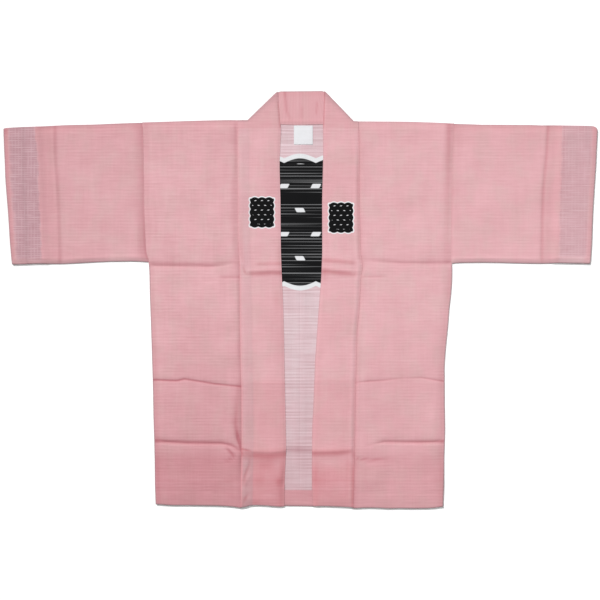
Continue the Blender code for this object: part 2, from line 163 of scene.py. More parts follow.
@dataclass(frozen=True)
class Fold:
    """A pressed line or a soft wrinkle along a path.

    path holds x, drop and height; a height below zero is a trough. before and after are the lengths
    over which it dies away on the two sides: above and below a path that runs from left to right,
    right and left of one that runs down. crease_shade is how much shade is painted into the colour
    along the line, shade_width how wide and shade_shift how far to the after side.
    """

    path: tuple[tuple[float, float, float], ...]
    before: float
    after: float
    crease_shade: float = 0.0
    shade_width: float = 2.5
    shade_shift: float = 0.0

    def nearest(self, x: Array, drop: Array) -> tuple[Array, Array]:
        """How far each place is to the side of the path, and the path's height beside it.

        Args:
            x: the places' x.
            drop: the places' drop.

        Returns:
            The signed distances and the heights.
        """
        best = np.full(x.shape, np.inf)
        offset, height = np.zeros(x.shape), np.zeros(x.shape)
        for (ax, ad, ah), (bx, bd, bh) in zip(self.path, self.path[1:]):
            ux, ud = bx - ax, bd - ad
            share = np.clip(((x - ax) * ux + (drop - ad) * ud) / (ux * ux + ud * ud), 0, 1)
            px, pd = x - (ax + share * ux), drop - (ad + share * ud)
            far = np.hypot(px, pd)
            closer = far < best
            side = np.where(ux * pd - ud * px < 0, -1, 1)
            best = np.where(closer, far, best)
            offset = np.where(closer, far * side, offset)
            height = np.where(closer, blend(ah, bh, share), height)
        return offset, height

    def rise(self, x: Array, drop: Array) -> Array:
        """How far the fold lifts each place.

        Args:
            x: the places' x.
            drop: the places' drop.

        Returns:
            The lifts.
        """
        offset, height = self.nearest(x, drop)
        soft = np.hypot(offset, 0.7) - 0.7
        return height * np.exp(-soft / np.where(offset < 0, self.before, self.after))

    def depth(self, x: Array, drop: Array) -> Array:
        """How much shade is painted into the colour at each place.

        Args:
            x: the places' x.
            drop: the places' drop.

        Returns:
            The depths.
        """
        offset, height = self.nearest(x, drop)
        most = max(abs(point[2]) for point in self.path)
        return self.crease_shade * np.abs(height) / most * bell(offset - self.shade_shift, self.shade_width)


@dataclass(frozen=True)
class Lie:
    """How a stretch of cloth lies: its folds and its slow unevenness."""

    folds: tuple[Fold, ...]
    seed: int
    swell: float = 0.35
    shortest: float = 45.0
    longest: float = 170.0

    def rise(self, x: Array, drop: Array) -> Array:
        """How far each place is lifted by the folds."""
        return sum((fold.rise(x, drop) for fold in self.folds), np.zeros(x.shape))

    def depth(self, x: Array, drop: Array) -> Array:
        """How much shade is painted into the colour at each place along the folds."""
        return sum((fold.depth(x, drop) for fold in self.folds), np.zeros(x.shape))

    def unevenness(self, x: Array, drop: Array) -> Array:
        """A slow waviness, never below zero, that no piece of laid cloth is free of.

        Args:
            x: the places' x.
            drop: the places' drop.

        Returns:
            The lift of each place.
        """
        draw = np.random.default_rng(self.seed)
        total = np.zeros(x.shape)
        count = 9
        for _ in range(count):
            angle, phase = draw.uniform(0.0, 2 * math.pi, 2)
            length = draw.uniform(self.shortest, self.longest)
            total += np.sin((x * math.cos(angle) + drop * math.sin(angle)) * 2 * math.pi / length + phase)
        return self.swell * (total / math.sqrt(count) + 1.6)


class Side(Enum):
    """The wearer's two sides, by the sign of their x."""

    RIGHT = -1.0
    LEFT = 1.0

    def pick(self, right: float, left: float) -> float:
        """The value for this side."""
        return right if self is Side.RIGHT else left


@dataclass(frozen=True)
class HalfCut:
    """The outline of one half of the laid coat, as drops and reaches from the centre line."""

    side: Side
    side_edge: Table
    collar_seam: Table
    lapel_edge: Table
    shoulder_fall: Table  # by share from the armhole to the collar seam
    front_hem: Table  # by share from the side edge to the collar seam
    lapel_hem: Table  # by share from the collar seam to the free edge
    sleeve_top: Table
    sleeve_bottom: Table
    cuff: Table
    fold_low: tuple[float, float]
    fold_high: tuple[float, float]
    creases: tuple[Table, ...]  # the three main creases of the body front, as x and drop

    def fall(self, share: Array) -> Array:
        """How far the shoulder line drops, from the armhole (0) to the neck (1)."""
        return reading(self.shoulder_fall, share, 0.05)


RIGHT = HalfCut(
    side=Side.RIGHT,
    side_edge=(
        (0, 307.5), (63, 306.8), (110, 306), (153, 305.3), (190, 304.2), (223, 303.2), (250, 301.6),
        (262, 299.5), (272, 295.5), (293, 293.8), (340, 292.9), (387, 291), (434, 289.5), (481, 288),
        (527, 286.7), (574, 286), (621, 284.5), (668, 283.4), (715, 282.5), (754, 281),
    ),
    collar_seam=(
        (0, 121.8), (63, 121.5), (153, 121.2), (230, 120.3), (270, 118), (395, 117), (480, 115.6),
        (520, 114.3), (620, 114), (754, 115.5),
    ),
    lapel_edge=(
        (0, 37.2), (14, 37.4), (28, 37.5), (50, 38.6), (66, 39.6), (90, 39.9), (153, 38.2), (250, 37.4),
        (301, 35.6), (348, 33.2), (395, 31.8), (504, 29.8), (590, 28), (630, 27.2), (660, 28.1), (699, 30),
        (754, 30.6),
    ),
    shoulder_fall=((0, 1.3), (0.25, -0.1), (0.46, -1.4), (0.67, -2.5), (0.88, -3.4), (1, -3.0)),
    front_hem=(
        (0, 746.6), (0.04, 747), (0.19, 748.7), (0.33, 748.7), (0.61, 749.2), (0.75, 749.7), (0.83, 750.5),
        (0.9, 751.4), (0.97, 753.3), (1, 754),
    ),
    lapel_hem=(
        (0, 752.5), (0.1, 752), (0.21, 748.9), (0.35, 748.1), (0.49, 748.6), (0.62, 749.2), (0.76, 750.4),
        (0.9, 751.2), (1, 751.2),
    ),
    sleeve_top=(
        (296, 2.4), (308, 2.1), (332, 2.5), (367, 3.9), (402, 5.5), (437, 6.1), (460, 6.7), (495, 8.5),
        (519, 9.7), (542, 10.4), (566, 11.7), (574, 12.4), (579, 13.6),
    ),
    sleeve_bottom=(
        (295, 274.6), (308, 273.5), (324, 272.7), (355, 273.1), (371, 273.1), (402, 274.6), (433, 276.3),
        (464, 277.8), (495, 277.8), (511, 277.3), (527, 278), (542, 278.7), (560, 279.1),
    ),
    cuff=(
        (14, 578.6), (48, 577.5), (79, 576), (110, 574.9), (141, 572.6), (172, 570), (204, 567.8), (235, 566),
        (266, 563.2), (279, 561.5),
    ),
    fold_low=(-102.4, -3.3),
    fold_high=(-44.9, -59.0),
    creases=(
        ((-300, 281.7), (-173.6, 283.7), (-150, 281), (-130.7, 277), (-118, 279)),
        ((-290, 504.2), (-239.4, 505.9), (-224.8, 502.6), (-166.4, 512.1), (-115.5, 517.3)),
        ((-290, 624.2), (-221, 627.9), (-152, 629), (-133.6, 633), (-117, 643.5)),
    ),
)
LEFT = HalfCut(
    side=Side.LEFT,
    side_edge=(
        (0, 300.5), (63, 299.2), (153, 297.2), (255, 296.2), (293, 297), (316, 296.4), (340, 294.4),
        (364, 291.4), (387, 289.8), (411, 287.6), (434, 285.2), (457, 283.2), (481, 281.8), (504, 282.1),
        (551, 282.2), (598, 283), (621, 282.6), (645, 281.6), (715, 280.5), (754, 279),
    ),
    collar_seam=(
        (0, 114), (63, 115.8), (153, 116), (255, 118.3), (270, 120), (280, 122.4), (290, 121.4), (304, 118.6),
        (358, 116.3), (412, 111.2), (504, 108.7), (650, 106.5), (754, 104),
    ),
    lapel_edge=(
        (0, 44.6), (63, 45.4), (153, 43.2), (255, 43.4), (304, 41.5), (358, 37), (412, 33.2), (465, 29.4),
        (504, 28), (543, 26.5), (602, 23.7), (650, 23.2), (699, 23), (754, 24),
    ),
    shoulder_fall=((0, 3.5), (0.14, 2), (0.27, 1.2), (0.4, 0.3), (0.55, -0.2), (0.8, -0.5), (1, -0.8)),
    front_hem=(
        (0, 751.3), (0.08, 753.4), (0.14, 754.4), (0.21, 754.7), (0.34, 755), (0.48, 754.5), (0.61, 755.1),
        (0.68, 754.2), (0.78, 753.4), (0.88, 753.6), (0.95, 754.5), (1, 754.5),
    ),
    lapel_hem=(
        (0, 752.6), (0.18, 751.6), (0.33, 751), (0.48, 750.7), (0.62, 750.2), (0.77, 750), (0.92, 750.7),
        (1, 750.4),
    ),
    sleeve_top=(
        (295, 3.9), (308, 4.3), (332, 4.9), (355, 5.8), (390, 5.9), (449, 6.3), (472, 7.1), (496, 6.9),
        (519, 7.5), (566, 8.2), (572, 8.7), (576, 10), (579, 12.4), (581, 16),
    ),
    sleeve_bottom=(
        (295, 277.8), (304, 276.4), (316, 275.6), (363, 275.2), (394, 275.6), (410, 276.1), (441, 276.9),
        (472, 277.2), (488, 276.9), (503, 276), (519, 276.6), (550, 277.1), (566, 277.7),
    ),
    cuff=(
        (14, 580.8), (48, 578.9), (79, 577.6), (110, 575.6), (141, 573.5), (172, 571.7), (204, 570.4),
        (235, 569.5), (266, 567.5), (278, 566),
    ),
    fold_low=(105.2, -1.1),
    fold_high=(48.7, -59.9),
    creases=(
        ((112, 271), (126.8, 270.5), (163.9, 273.9), (203.9, 276.5), (300, 276.5)),
        ((105, 510), (134.6, 506.7), (163.9, 504.9), (205.8, 500.2), (236.1, 499.8), (290, 508.5)),
        ((105, 645), (120, 636), (145.7, 629), (163.9, 625.6), (233.1, 626.4), (290, 625.3)),
    ),
)
BACK_HEM: Table = (  # by x
    (-280, 745), (-110, 747), (-60, 748.5), (-33, 750.3), (0, 750.6), (25, 751.2), (60, 749.5), (280, 750),
)
HALVES = (RIGHT, LEFT)


def lifted(path: Table, heights: Sequence[float]) -> tuple[tuple[float, float, float], ...]:
    """A path of x and drop with a height at each point."""
    return tuple((x, drop, height) for (x, drop), height in zip(path, heights, strict=True))


BODY_LIE: Mapping[Side, Lie] = {
    Side.RIGHT: Lie(seed=11, folds=(
        Fold(lifted(RIGHT.creases[0], (-1.5, -1.5, -0.9, -0.3, 0)), 7, 2.2, 0.5, 5, -4),
        Fold(((-162, 303, 0), (-148, 303.3, -0.5), (-117, 302.6, -0.6)), 4, 3.2, 0.34, 2.6),
        Fold(lifted(RIGHT.creases[1], (-1.3, -1.5, -1.3, -1.3, -1.1)), 3.2, 1.2, 0.8, 2.2, -0.6),
        Fold(lifted(RIGHT.creases[2], (-2.6, -2.6, -2.4, -2.1, -0.6)), 6.5, 1.6, 0.62, 3.8, -2.2),
        Fold(
            ((-119, 512, -0.3), (-123, 545, -0.6), (-126, 590, -1.1), (-121, 618, -1.2), (-116, 632, -0.5)),
            5, 9, 0.5, 5,
        ),
        Fold(((-124, 600, 0), (-120.5, 620, -1.2), (-116.5, 633, -1.1), (-115, 645, 0)), 2, 2.6, 0.6, 2.4),
        Fold(((-150, 632, 0), (-137, 640, 0.9), (-124, 650, 1), (-116, 660, 0.6)), 3.5, 3.5),
        Fold(((-147, 634, 0), (-139, 641, -1.2), (-133, 647, -1.2), (-127, 653, 0)), 2.6, 2.6, 0.5, 3.2),
        Fold(((-150, 661, 0), (-140, 660, -0.9), (-131, 655, -0.9), (-124, 646, 0)), 2.6, 3, 0.3, 2.6),
        Fold(((-152, 690, 0), (-142, 700, 0.4), (-124, 694, 0.3)), 5, 5, 0.1, 5),
        Fold(((-187, 6, 0), (-187, 40, 0.5), (-186, 180, 0.4), (-188, 262, 0)), 7, 10),
        Fold(((-203, 345, 0), (-197, 392, 0.5), (-193, 430, 0)), 9, 9),
        Fold(((-160, 360, 0), (-150, 392, 0.5), (-140, 420, 0)), 10, 8),
        Fold(((-284, 700, 0.2), (-200, 704, 0.25), (-116, 703, 0.2)), 4, 4, 0.1, 4),
    )),
    Side.LEFT: Lie(seed=23, folds=(
        Fold(lifted(LEFT.creases[0], (0, -0.4, -1, -1.2, -1.2)), 7, 6, 0.36, 4, -2),
        Fold(((118, 302, 0), (126, 302.6, -0.9), (158, 302.6, -0.7), (174, 303, 0)), 3, 1.4, 0.4, 1.6),
        Fold(lifted(LEFT.creases[1], (-0.4, -1, -0.8, -0.2, -0.7, -1.1)), 3, 1.4, 0.55, 2, -0.5),
        Fold(lifted(LEFT.creases[2], (0, 0, -0.6, -2, -2.6, -2.6)), 6, 1.6, 0.6, 3.4, -1.8),
        Fold(
            ((112, 658, -0.9), (130, 659.5, -1.2), (156, 660, -1), (176, 661, -0.5), (198, 663, 0)),
            6, 2.4, 0.46, 2.8, -0.8,
        ),
        Fold(((181, 10, 0), (180, 60, 0.5), (179, 180, 0.4), (180, 255, 0)), 8, 8),
        Fold(((112, 420, 0), (109, 470, 0.6), (108, 510, 0.5), (107, 560, 0)), 6, 12),
        Fold(((282, 700, 0.2), (200, 704, 0.25), (106, 703, 0.2)), 4, 4, 0.1, 4),
    )),
}
LAPEL_LIE: Mapping[Side, Lie] = {
    Side.RIGHT: Lie(seed=31, swell=0.22, folds=(
        Fold(((-92, 276.5, 0), (-80, 277, 0.5), (-34, 276.2, 0.5)), 8, 3.6, 0.34, 3.4, 0.9),
        Fold(
            ((-105, 292, 0.2), (-98, 292, 1.5), (-74, 291.4, 1.9), (-54, 290.2, 1.9), (-30, 291.4, 1.8)),
            12, 5, 0.6, 5, 4.2,
        ),
        Fold(((-112, 278, 0), (-110.5, 286, -0.9), (-107.5, 294, -1.1), (-101, 302, 0)), 2, 2.4, 0.5, 2.4),
        Fold(((-117, 258, 0), (-115.5, 272, 0.6), (-113.5, 283, 0.4), (-111, 292, 0)), 2, 2, -0.2, 2),
        Fold(((-120, 514, 0.4), (-90, 510, 0.2), (-60, 511, 0.5), (-28, 511, 0.5)), 5, 4, 0.1, 2),
        Fold(
            ((-121, 638, 1), (-113.7, 640, 1.6), (-93.6, 643, 2), (-57.2, 644.5, 2), (-25, 641, 1.7)),
            10, 9.5, 0.56, 9, 7,
        ),
        Fold(((-113.5, 638.5, -1), (-104, 640.5, -1.3), (-92, 643.5, 0)), 2, 1.6, 0.6, 2),
        Fold(((-112, 646, 1), (-103, 656, 0.8), (-96, 668, 0)), 3, 3),
        Fold(((-97, 650, 0), (-100, 672, -1), (-108, 692, -1.4), (-111, 712, 0)), 2.6, 3, 0.45, 2.8),
        Fold(((-94, 684, 0), (-100, 694, 0.9), (-108, 710, 0.9), (-112, 722, 0.3)), 3, 3),
        Fold(((-98, 722, 0), (-106, 734, -0.9), (-112, 747, -0.6)), 2.6, 2.6, 0.35, 3),
    )),
    Side.LEFT: Lie(seed=43, swell=0.22, folds=(
        Fold(((40, 269, 0.5), (54.6, 270, 0.7), (101, 273.8, 0.6), (112, 275, 0)), 13, 4.5, 0.46, 5, 1),
        Fold(
            ((38, 287, 1.1), (50.7, 287.6, 1.3), (72.2, 290, 1.5), (97, 292, 1.4), (104, 293.5, 0.9),
             (116, 289, 0)),
            12, 5.5, 0.62, 5.2, 4.4,
        ),
        Fold(((26, 508, 0.5), (60, 506, 0.4), (108, 508, 0.3)), 5, 4, 0.1, 2),
        Fold(
            ((18, 643, 1.7), (25.4, 643.5, 1.8), (72.8, 642.5, 1.9), (100, 640, 1.4), (110, 651, 0.8)),
            9, 7, 0.55, 6.2, 3.6,
        ),
        Fold(((72, 560, 0), (84, 590, 0.7), (98, 625, 0.6), (103, 640, 0)), 9, 8),
    )),
}
SLEEVE_LIE: Mapping[Side, Lie] = {
    Side.RIGHT: Lie(seed=53, folds=(
        Fold(
            ((-483, -5, 1.5), (-481.5, 10, 1.7), (-480.5, 63, 1.7), (-477.4, 106, 1.6), (-474.5, 153, 1.6),
             (-472.3, 219, 1.4), (-470.4, 290, 1.2)),
            6, 5, 0.3, 4.2, -3.5,
        ),
        Fold(((-402, 60, 0), (-404, 110, 0.5), (-400, 180, 0.4), (-402, 235, 0)), 9, 9),
        Fold(((-350, 20, 0), (-352, 70, 0.4), (-345, 130, 0)), 9, 9),
    )),
    Side.LEFT: Lie(seed=61, folds=(
        Fold(
            ((484, -5, -1), (483.1, 10, -1.2), (480.9, 57, -1.2), (477, 98, -1.2), (473.9, 137, -1.2),
             (471.9, 198, -1.1), (470.6, 290, -1)),
            4, 3, 0.42, 3.4, -0.8,
        ),
        Fold(((392, 40, 0), (395, 120, 0.4), (392, 200, 0.4), (396, 250, 0)), 9, 9),
    )),
}
BACK_LIE = Lie(seed=71, swell=0.05, folds=(
    Fold(
        ((-70, 632, 0), (-45, 633, 0.3), (-28, 634, 0.7), (-4, 634, 1), (20, 635, 0.8), (40, 635, 0.3),
         (70, 634, 0)),
        7, 8, 0.62, 6, 6,
    ),
    Fold(((-60, 505, 0), (-20, 506, 0.4), (20, 505, 0.4), (60, 506, 0)), 6, 6, 0.1, 4),
))
NECK_LIE = Lie(seed=83, swell=0.12, folds=(
    Fold(((-32, -66, 1), (-31, -57, 1), (-27.3, -20, 0.9), (-20, -4, 0.4), (-18, 2, 0)), 3, 5, 0.34, 2.8, -1),
    Fold(((-4, -62, 0.4), (-4, -30, 0.35), (-4.5, -10, 0)), 2.2, 2.2, -0.1, 1.8),
    Fold(((4, -34, 0), (4, -24, -0.6), (4, -8, -0.5), (4, 0, 0)), 2, 2.4, 0.28, 1.8),
    Fold(((33, -42, 0), (33, -34, -0.7), (32.5, -18, -0.6), (33, -10, 0)), 2, 2.4, 0.32, 2),
))


def over_hems(level: Array) -> Array:
    """How far the front has come up, from 0 to 1, to lie over the turned-up hems."""
    return rises(level, 50, 664)


def over_shoulder(level: Array) -> Array:
    """How far the band has come up, from 0 to 1, to lie over its own lower layer."""
    return ends(level, 31, 45)


def near_hem(level: Array) -> Array:
    """How near the hem each level is, from 0 well above it to 1 at it."""
    return rises(level - HEM_DROP, 60, -60)


def above_hem(level: Array) -> Array:
    """Where the front is loose, 1, or held down by its hem, 0."""
    return ends(level, 16, HEM_DROP - 3)


def above_armpit(drop: Array) -> Array:
    """1 beside the armhole and 0 beside the side seam below it."""
    return falls(drop, 8, ARMPIT_DROP)


def front_height(level: Array) -> Array:
    """The height of the middle of the front's cloth, which steps up over the hem turns."""
    return blend(FRONT_Z, FRONT_OVER_HEMS_Z, over_hems(level))


def seam_height(cut: HalfCut, drop: Array) -> Array:
    """The height of the body's cloth along the collar seam, where the band is sewn onto it.

    Args:
        cut: the half of the coat.
        drop: the places down the seam.

    Returns:
        The height of the middle of the body's cloth at each place.
    """
    x = cut.side.value * reading(cut.collar_seam, drop)
    rise = 0.5 * (BODY_LIE[cut.side].rise(x, drop) + LAPEL_LIE[cut.side].rise(x, drop))
    open_share = rises(drop, 40) * above_hem(drop)
    lowest = 0.3 + 0.12 * np.sin(drop / 37 + cut.side.value)
    return front_height(drop) + np.maximum(lowest + rise, -0.3) * open_share


# ---- Finishes ----


def linear(hex_colour: str) -> tuple[float, float, float, float]:
    """An sRGB hex colour as the linear values that a shader takes.

    Args:
        hex_colour: six digits.

    Returns:
        Its red, green and blue, and an alpha of 1.
    """
    parts = [int(hex_colour[i : i + 2], 16) / 255 for i in (0, 2, 4)]
    made = [part / 12.92 if part <= 0.04045 else ((part + 0.055) / 1.055) ** 2.4 for part in parts]
    return (made[0], made[1], made[2], 1.0)


def feed(made: bpy.types.Node, inputs: Mapping[str | int, object] | Sequence[object]) -> None:
    """Gives a node's sockets, in their order or by name or number, their values or what feeds them.

    Args:
        made: the node.
        inputs: the values and sockets.
    """
    for name, value in inputs.items() if isinstance(inputs, Mapping) else enumerate(inputs):
        if isinstance(value, bpy.types.NodeSocket):
            made.id_data.links.new(value, made.inputs[name])
        else:
            made.inputs[name].default_value = value


def node(
    tree: bpy.types.NodeTree,
    kind: str,
    inputs: Mapping[str | int, object] | Sequence[object] = (),
    output: str | int = 0,
    **settings: object,
) -> Socket:
    """Adds a node.

    Args:
        tree: the node tree that gets it.
        kind: the node's type.
        inputs: what feed takes.
        output: which of its outputs is wanted.
        settings: its own properties.

    Returns:
        That output.
    """
    made = tree.nodes.new(kind)
    for name, value in settings.items():
        setattr(made, name, value)
    feed(made, inputs)
    return made.outputs[output]


def plain_material(name: str) -> tuple[bpy.types.Material, bpy.types.Node]:
    """Makes a material and returns it with its shader.

    Args:
        name: what the material is.

    Returns:
        The two.
    """
    material = bpy.data.materials.new(name)
    material.use_nodes = True
    return material, material.node_tree.nodes["Principled BSDF"]


MATH, VECTOR, AXIS = "ShaderNodeMath", "ShaderNodeVectorMath", "ShaderNodeSeparateXYZ"
RANGE = "ShaderNodeMapRange"  # takes a value, the two ends that it comes from and the two it goes to
MIX, MIX_A, MIX_B, MIX_RESULT = "ShaderNodeMix", 6, 7, 2  # with the places of its colour sockets
WAVE, NOISE, ATTRIBUTE = "ShaderNodeTexWave", "ShaderNodeTexNoise", "ShaderNodeAttribute"


def cloth_place(add: Add, layer: str) -> Socket:
    """The place on a piece's own cloth, in millimetres."""
    place = add("ShaderNodeUVMap", uv_map=layer)
    return add(VECTOR, {0: place, "Scale": 1 / MM}, operation="SCALE")


@dataclass(frozen=True)
class ScallopedPrint:
    """A plain black panel with a scalloped edge, a white border and rows of white flecks."""

    half_width: float
    half_height: float
    lobe: float  # how far the scallops stand out
    lobe_pitch: tuple[float, float]  # along the upright edges and along the level ones
    corner: float  # how softly the corners are rounded
    border: float
    lattice: tuple[float, float]  # the flecks' spacing across and down
    fleck: tuple[float, float]  # half their width and half their height
    slant: float  # how far each fleck leans
    margin: float  # the plain black that is kept inside the edge

    def edge(self, add: Add, place: Socket) -> Socket:
        """How far a place lies outside the black.

        Args:
            add: adds a node to the material.
            place: the place on the motif in millimetres.

        Returns:
            The distance in millimetres, which is negative inside.
        """
        outside = []
        halves = (self.half_width, self.half_height)
        for axis, other, half, pitch in zip("XY", "YX", halves, self.lobe_pitch, strict=True):
            along, across = (add(AXIS, (place,), letter) for letter in (axis, other))
            turned = add(MATH, (across, math.pi / pitch), operation="MULTIPLY")
            wave = add(MATH, (turned,), operation="COSINE")
            lobe = add(MATH, (wave,), operation="ABSOLUTE")
            out = add(MATH, (lobe, self.lobe, half), operation="MULTIPLY_ADD")
            far = add(MATH, (along,), operation="ABSOLUTE")
            outside.append(add(MATH, (far, out), operation="SUBTRACT"))
        return add(MATH, (*outside, self.corner), operation="SMOOTH_MAX")

    def flecks(self, add: Add, place: Socket) -> Socket:
        """The white flecks, in rows that are offset by half a step and lean by turns to each side.

        Args:
            add: adds a node to the material.
            place: the place on the motif in millimetres.

        Returns:
            The share of white.
        """
        across, down = (add(AXIS, (place,), letter) for letter in "XY")
        row = add(MATH, (down, self.lattice[1]), operation="DIVIDE")
        number = add(MATH, (row,), operation="FLOOR")
        odd = add(MATH, (number, 2.0), operation="FLOORED_MODULO")
        in_row = add(MATH, (row,), operation="FRACT")
        high = add(MATH, (in_row, 0.5), operation="SUBTRACT")
        high = add(MATH, (high, self.lattice[1]), operation="MULTIPLY")
        lean = add(MATH, (odd, -2 * self.slant, self.slant), operation="MULTIPLY_ADD")
        leaned = add(MATH, (high, lean, across), operation="MULTIPLY_ADD")
        column = add(MATH, (leaned, self.lattice[0]), operation="DIVIDE")
        column = add(MATH, (odd, 0.5, column), operation="MULTIPLY_ADD")
        in_column = add(MATH, (column,), operation="FRACT")
        wide = add(MATH, (in_column, 0.5), operation="SUBTRACT")
        wide = add(MATH, (wide, self.lattice[0]), operation="MULTIPLY")
        parts = []
        for value, half in zip((wide, high), self.fleck, strict=True):
            size = add(MATH, (value,), operation="ABSOLUTE")
            parts.append(add(MATH, (size, half), operation="DIVIDE"))
        reach = add(MATH, (*parts, 0.5), operation="SMOOTH_MAX")
        soft = 0.35 / min(self.fleck)
        return add(RANGE, (reach, 1 + soft, 1 - soft))

    def masks(self, add: Add) -> tuple[Socket, Socket]:
        """Draws the print.

        Args:
            add: adds a node to the material.

        Returns:
            The share of black, and that of the whole panel with its border.
        """
        place = cloth_place(add, "motif")
        edge = self.edge(add, place)
        panel = add(RANGE, (edge, self.border + 0.5, self.border - 0.5))
        ink = add(RANGE, (edge, 0.5, -0.5))
        inner = add(RANGE, (edge, -self.margin, -self.margin - 0.6))
        spared = add(MATH, (self.flecks(add, place), inner), operation="MULTIPLY")
        return add(MATH, (ink, spared), operation="SUBTRACT", use_clamp=True), panel


@dataclass(frozen=True)
class RibbedCotton:
    """Ribbed plain-weave cotton: matt, with slubbed ribs across it that catch the light.

    ground is its usual colour, shade_colour the darker one painted in as shade along folds and over
    seam allowances, pale_and_lit the lighter one painted in as light and drawn in the check's light
    lines, grey the dustier one of its blotches, and shaded_and_worn that of the dark rims of shade and
    wear painted along its edges. weave is how strongly its ribs and slubs vary the colour.
    """

    name: str
    weave: float
    ground: str = "cc9da2"
    shade_colour: str = "a96a71"
    pale_and_lit: str = "ceb0b5"
    grey: str = "c5a2a2"
    shaded_and_worn: str = "8a7073"
    upright: float = 1.0  # how strongly the lengthwise threads and the clouds show beside the slubs
    rib_pitch: float = 6.1
    # single threads are 0.35 mm apart, too fine to show: their relief is drawn 1.3 mm apart, and
    # each row or column of uneven colour stands for about six of them
    thread_pitch: float = 1.3
    row_pitch: float = 2.03
    column_pitch: float = 2.6
    slub_length: float = 38.0
    bump: float = 0.35
    bump_depth: float = 0.18
    roughness: float = 0.86
    specular: float = 0.12
    sheen: float = 0.07
    sheen_roughness: float = 0.5
    print: ScallopedPrint | None = None
    ink: str = "141416"
    white: str = "dcdcde"
    struck_through: float = 0.0  # how far the ribs break the black up on the reverse
    check: str | None = None  # the grey of a woven check at the end of the cloth

    def build(self) -> bpy.types.Material:
        """Makes the material.

        Returns:
            The material.
        """
        material, shader = plain_material(self.name)
        add = partial(node, material.node_tree)
        place = cloth_place(add, "cloth")
        ribs, warp, weft = self.waves(
            add, place, (("Y", self.rib_pitch), ("X", self.thread_pitch), ("Y", self.thread_pitch))
        )
        fine = 0.05  # a pitch that leaves its direction smooth
        slubs = self.uneven(add, place, (1 / self.slub_length, 3.7), 2.0, (fine, self.row_pitch))
        # the shares of painted light and shade, and of the dark rims of painted shade and wear
        tone, shade_and_wear = (add(ATTRIBUTE, (), "Fac", attribute_name=name) for name in ("tone", "shade_and_wear"))
        lit_share = add(MATH, (tone, -1.0), operation="MULTIPLY", use_clamp=True)
        shaded_share = add(MATH, (tone, 1.0), operation="MULTIPLY", use_clamp=True)
        blotches = self.uneven(add, place, (1 / 34, 1 / 48), 3.0)
        dusty = add(RANGE, (blotches, 0.42, 0.66, 0.0, 0.5))
        # the dusty blotches, then the painted shade and the painted light
        layers = [
            ("MIX", share, linear(over))
            for share, over in ((dusty, self.grey), (shaded_share, self.shade_colour), (lit_share, self.pale_and_lit))
        ]
        if self.check is not None:
            layers += self.woven_check(add, place)
        layers.append(("MULTIPLY", 1.0, self.weave_shade(add, place, ribs, slubs, fine)))
        if self.print is not None:
            black, panel = self.print.masks(add)
            if self.struck_through:
                # the dye takes least on the ribs' crests, where the slubs are thick
                long_slubs = self.uneven(add, place, (1 / 900, 5.3), 2.0, (fine, 1.27))
                raised = add(MATH, (ribs, 0.16, long_slubs), operation="MULTIPLY_ADD")
                thin = add(RANGE, (raised, 0.635, 0.72, 0.0, self.struck_through))
                kept = add(MATH, (1.0, thin), operation="SUBTRACT", use_clamp=True)
                black = add(MATH, (black, kept), operation="MULTIPLY")
            layers += [("MIX", panel, linear(self.white)), ("MIX", black, linear(self.ink))]
        # the dark rims of painted shade and wear along the edges
        layers.append(("MIX", shade_and_wear, linear(self.shaded_and_worn)))
        colour = linear(self.ground)
        for blending, share, over in layers:
            inputs = {0: share, MIX_A: colour, MIX_B: over}
            colour = add(MIX, inputs, MIX_RESULT, data_type="RGBA", blend_type=blending)
        woven = add(MATH, (warp, weft), operation="MULTIPLY")
        relief = add(MATH, (slubs, 1.4, ribs), operation="MULTIPLY_ADD")
        relief = add(MATH, (woven, 0.5, relief), operation="MULTIPLY_ADD")
        bump = {"Strength": self.bump, "Distance": self.bump_depth * MM, "Height": relief}
        feed(shader, {
            "Roughness": self.roughness, "Specular IOR Level": self.specular,
            "Sheen Weight": self.sheen, "Sheen Roughness": self.sheen_roughness,
            "Base Color": colour, "Normal": add("ShaderNodeBump", bump),
        })
        return material

    def weave_shade(self, add: Add, place: Socket, ribs: Socket, slubs: Socket, fine: float) -> Socket:
        """What the yarn's unevenness multiplies the colour by.

        Args:
            add: adds a node to the material.
            place: the place on the cloth in millimetres.
            ribs: the height of the ribs.
            slubs: the thickness of the crosswise threads.
            fine: a pitch that leaves its direction smooth.

        Returns:
            A colour near white.
        """
        threads = self.uneven(add, place, (3.7, 1 / 60), 2.0, (self.column_pitch, fine))
        streaks = self.uneven(add, place, (1 / 26, 1 / 170), 2.0)
        clouds = self.uneven(add, place, (1 / 75, 1 / 60), 3.0)
        patches = self.uneven(add, place, (1 / 80, 1 / 26), 1.0)
        strength = add(RANGE, (patches, 0.35, 0.65, 0.25, 1.75))
        crest = add(MATH, (ribs, 0.5), operation="SUBTRACT")
        crest = add(MATH, (crest, strength), operation="MULTIPLY")
        shade = add(MATH, (crest, 0.021 * self.weave, 0.5), operation="MULTIPLY_ADD")
        beside = self.upright
        for value, weight in (
            (slubs, 0.085), (threads, 0.045 * beside), (streaks, 0.045 * beside), (clouds, 0.075 * beside)
        ):
            centred = add(MATH, (value, 0.5), operation="SUBTRACT")
            shade = add(MATH, (centred, weight * self.weave, shade), operation="MULTIPLY_ADD")
        calm = add(ATTRIBUTE, (), "Fac", attribute_name="calm")
        shown = add(MATH, (1.0, calm), operation="SUBTRACT")
        shade = add(MATH, (shade, 0.5), operation="SUBTRACT")
        shade = add(MATH, (shade, shown, 0.5), operation="MULTIPLY_ADD")
        # a light thread is nearly undyed, so the weave varies the green and blue most
        inputs = {0: shade, MIX_A: (0.3, 0.0, 0.0, 1.0), MIX_B: (1.7, 2.0, 2.0, 1.0)}
        return add(MIX, inputs, MIX_RESULT, data_type="RGBA")

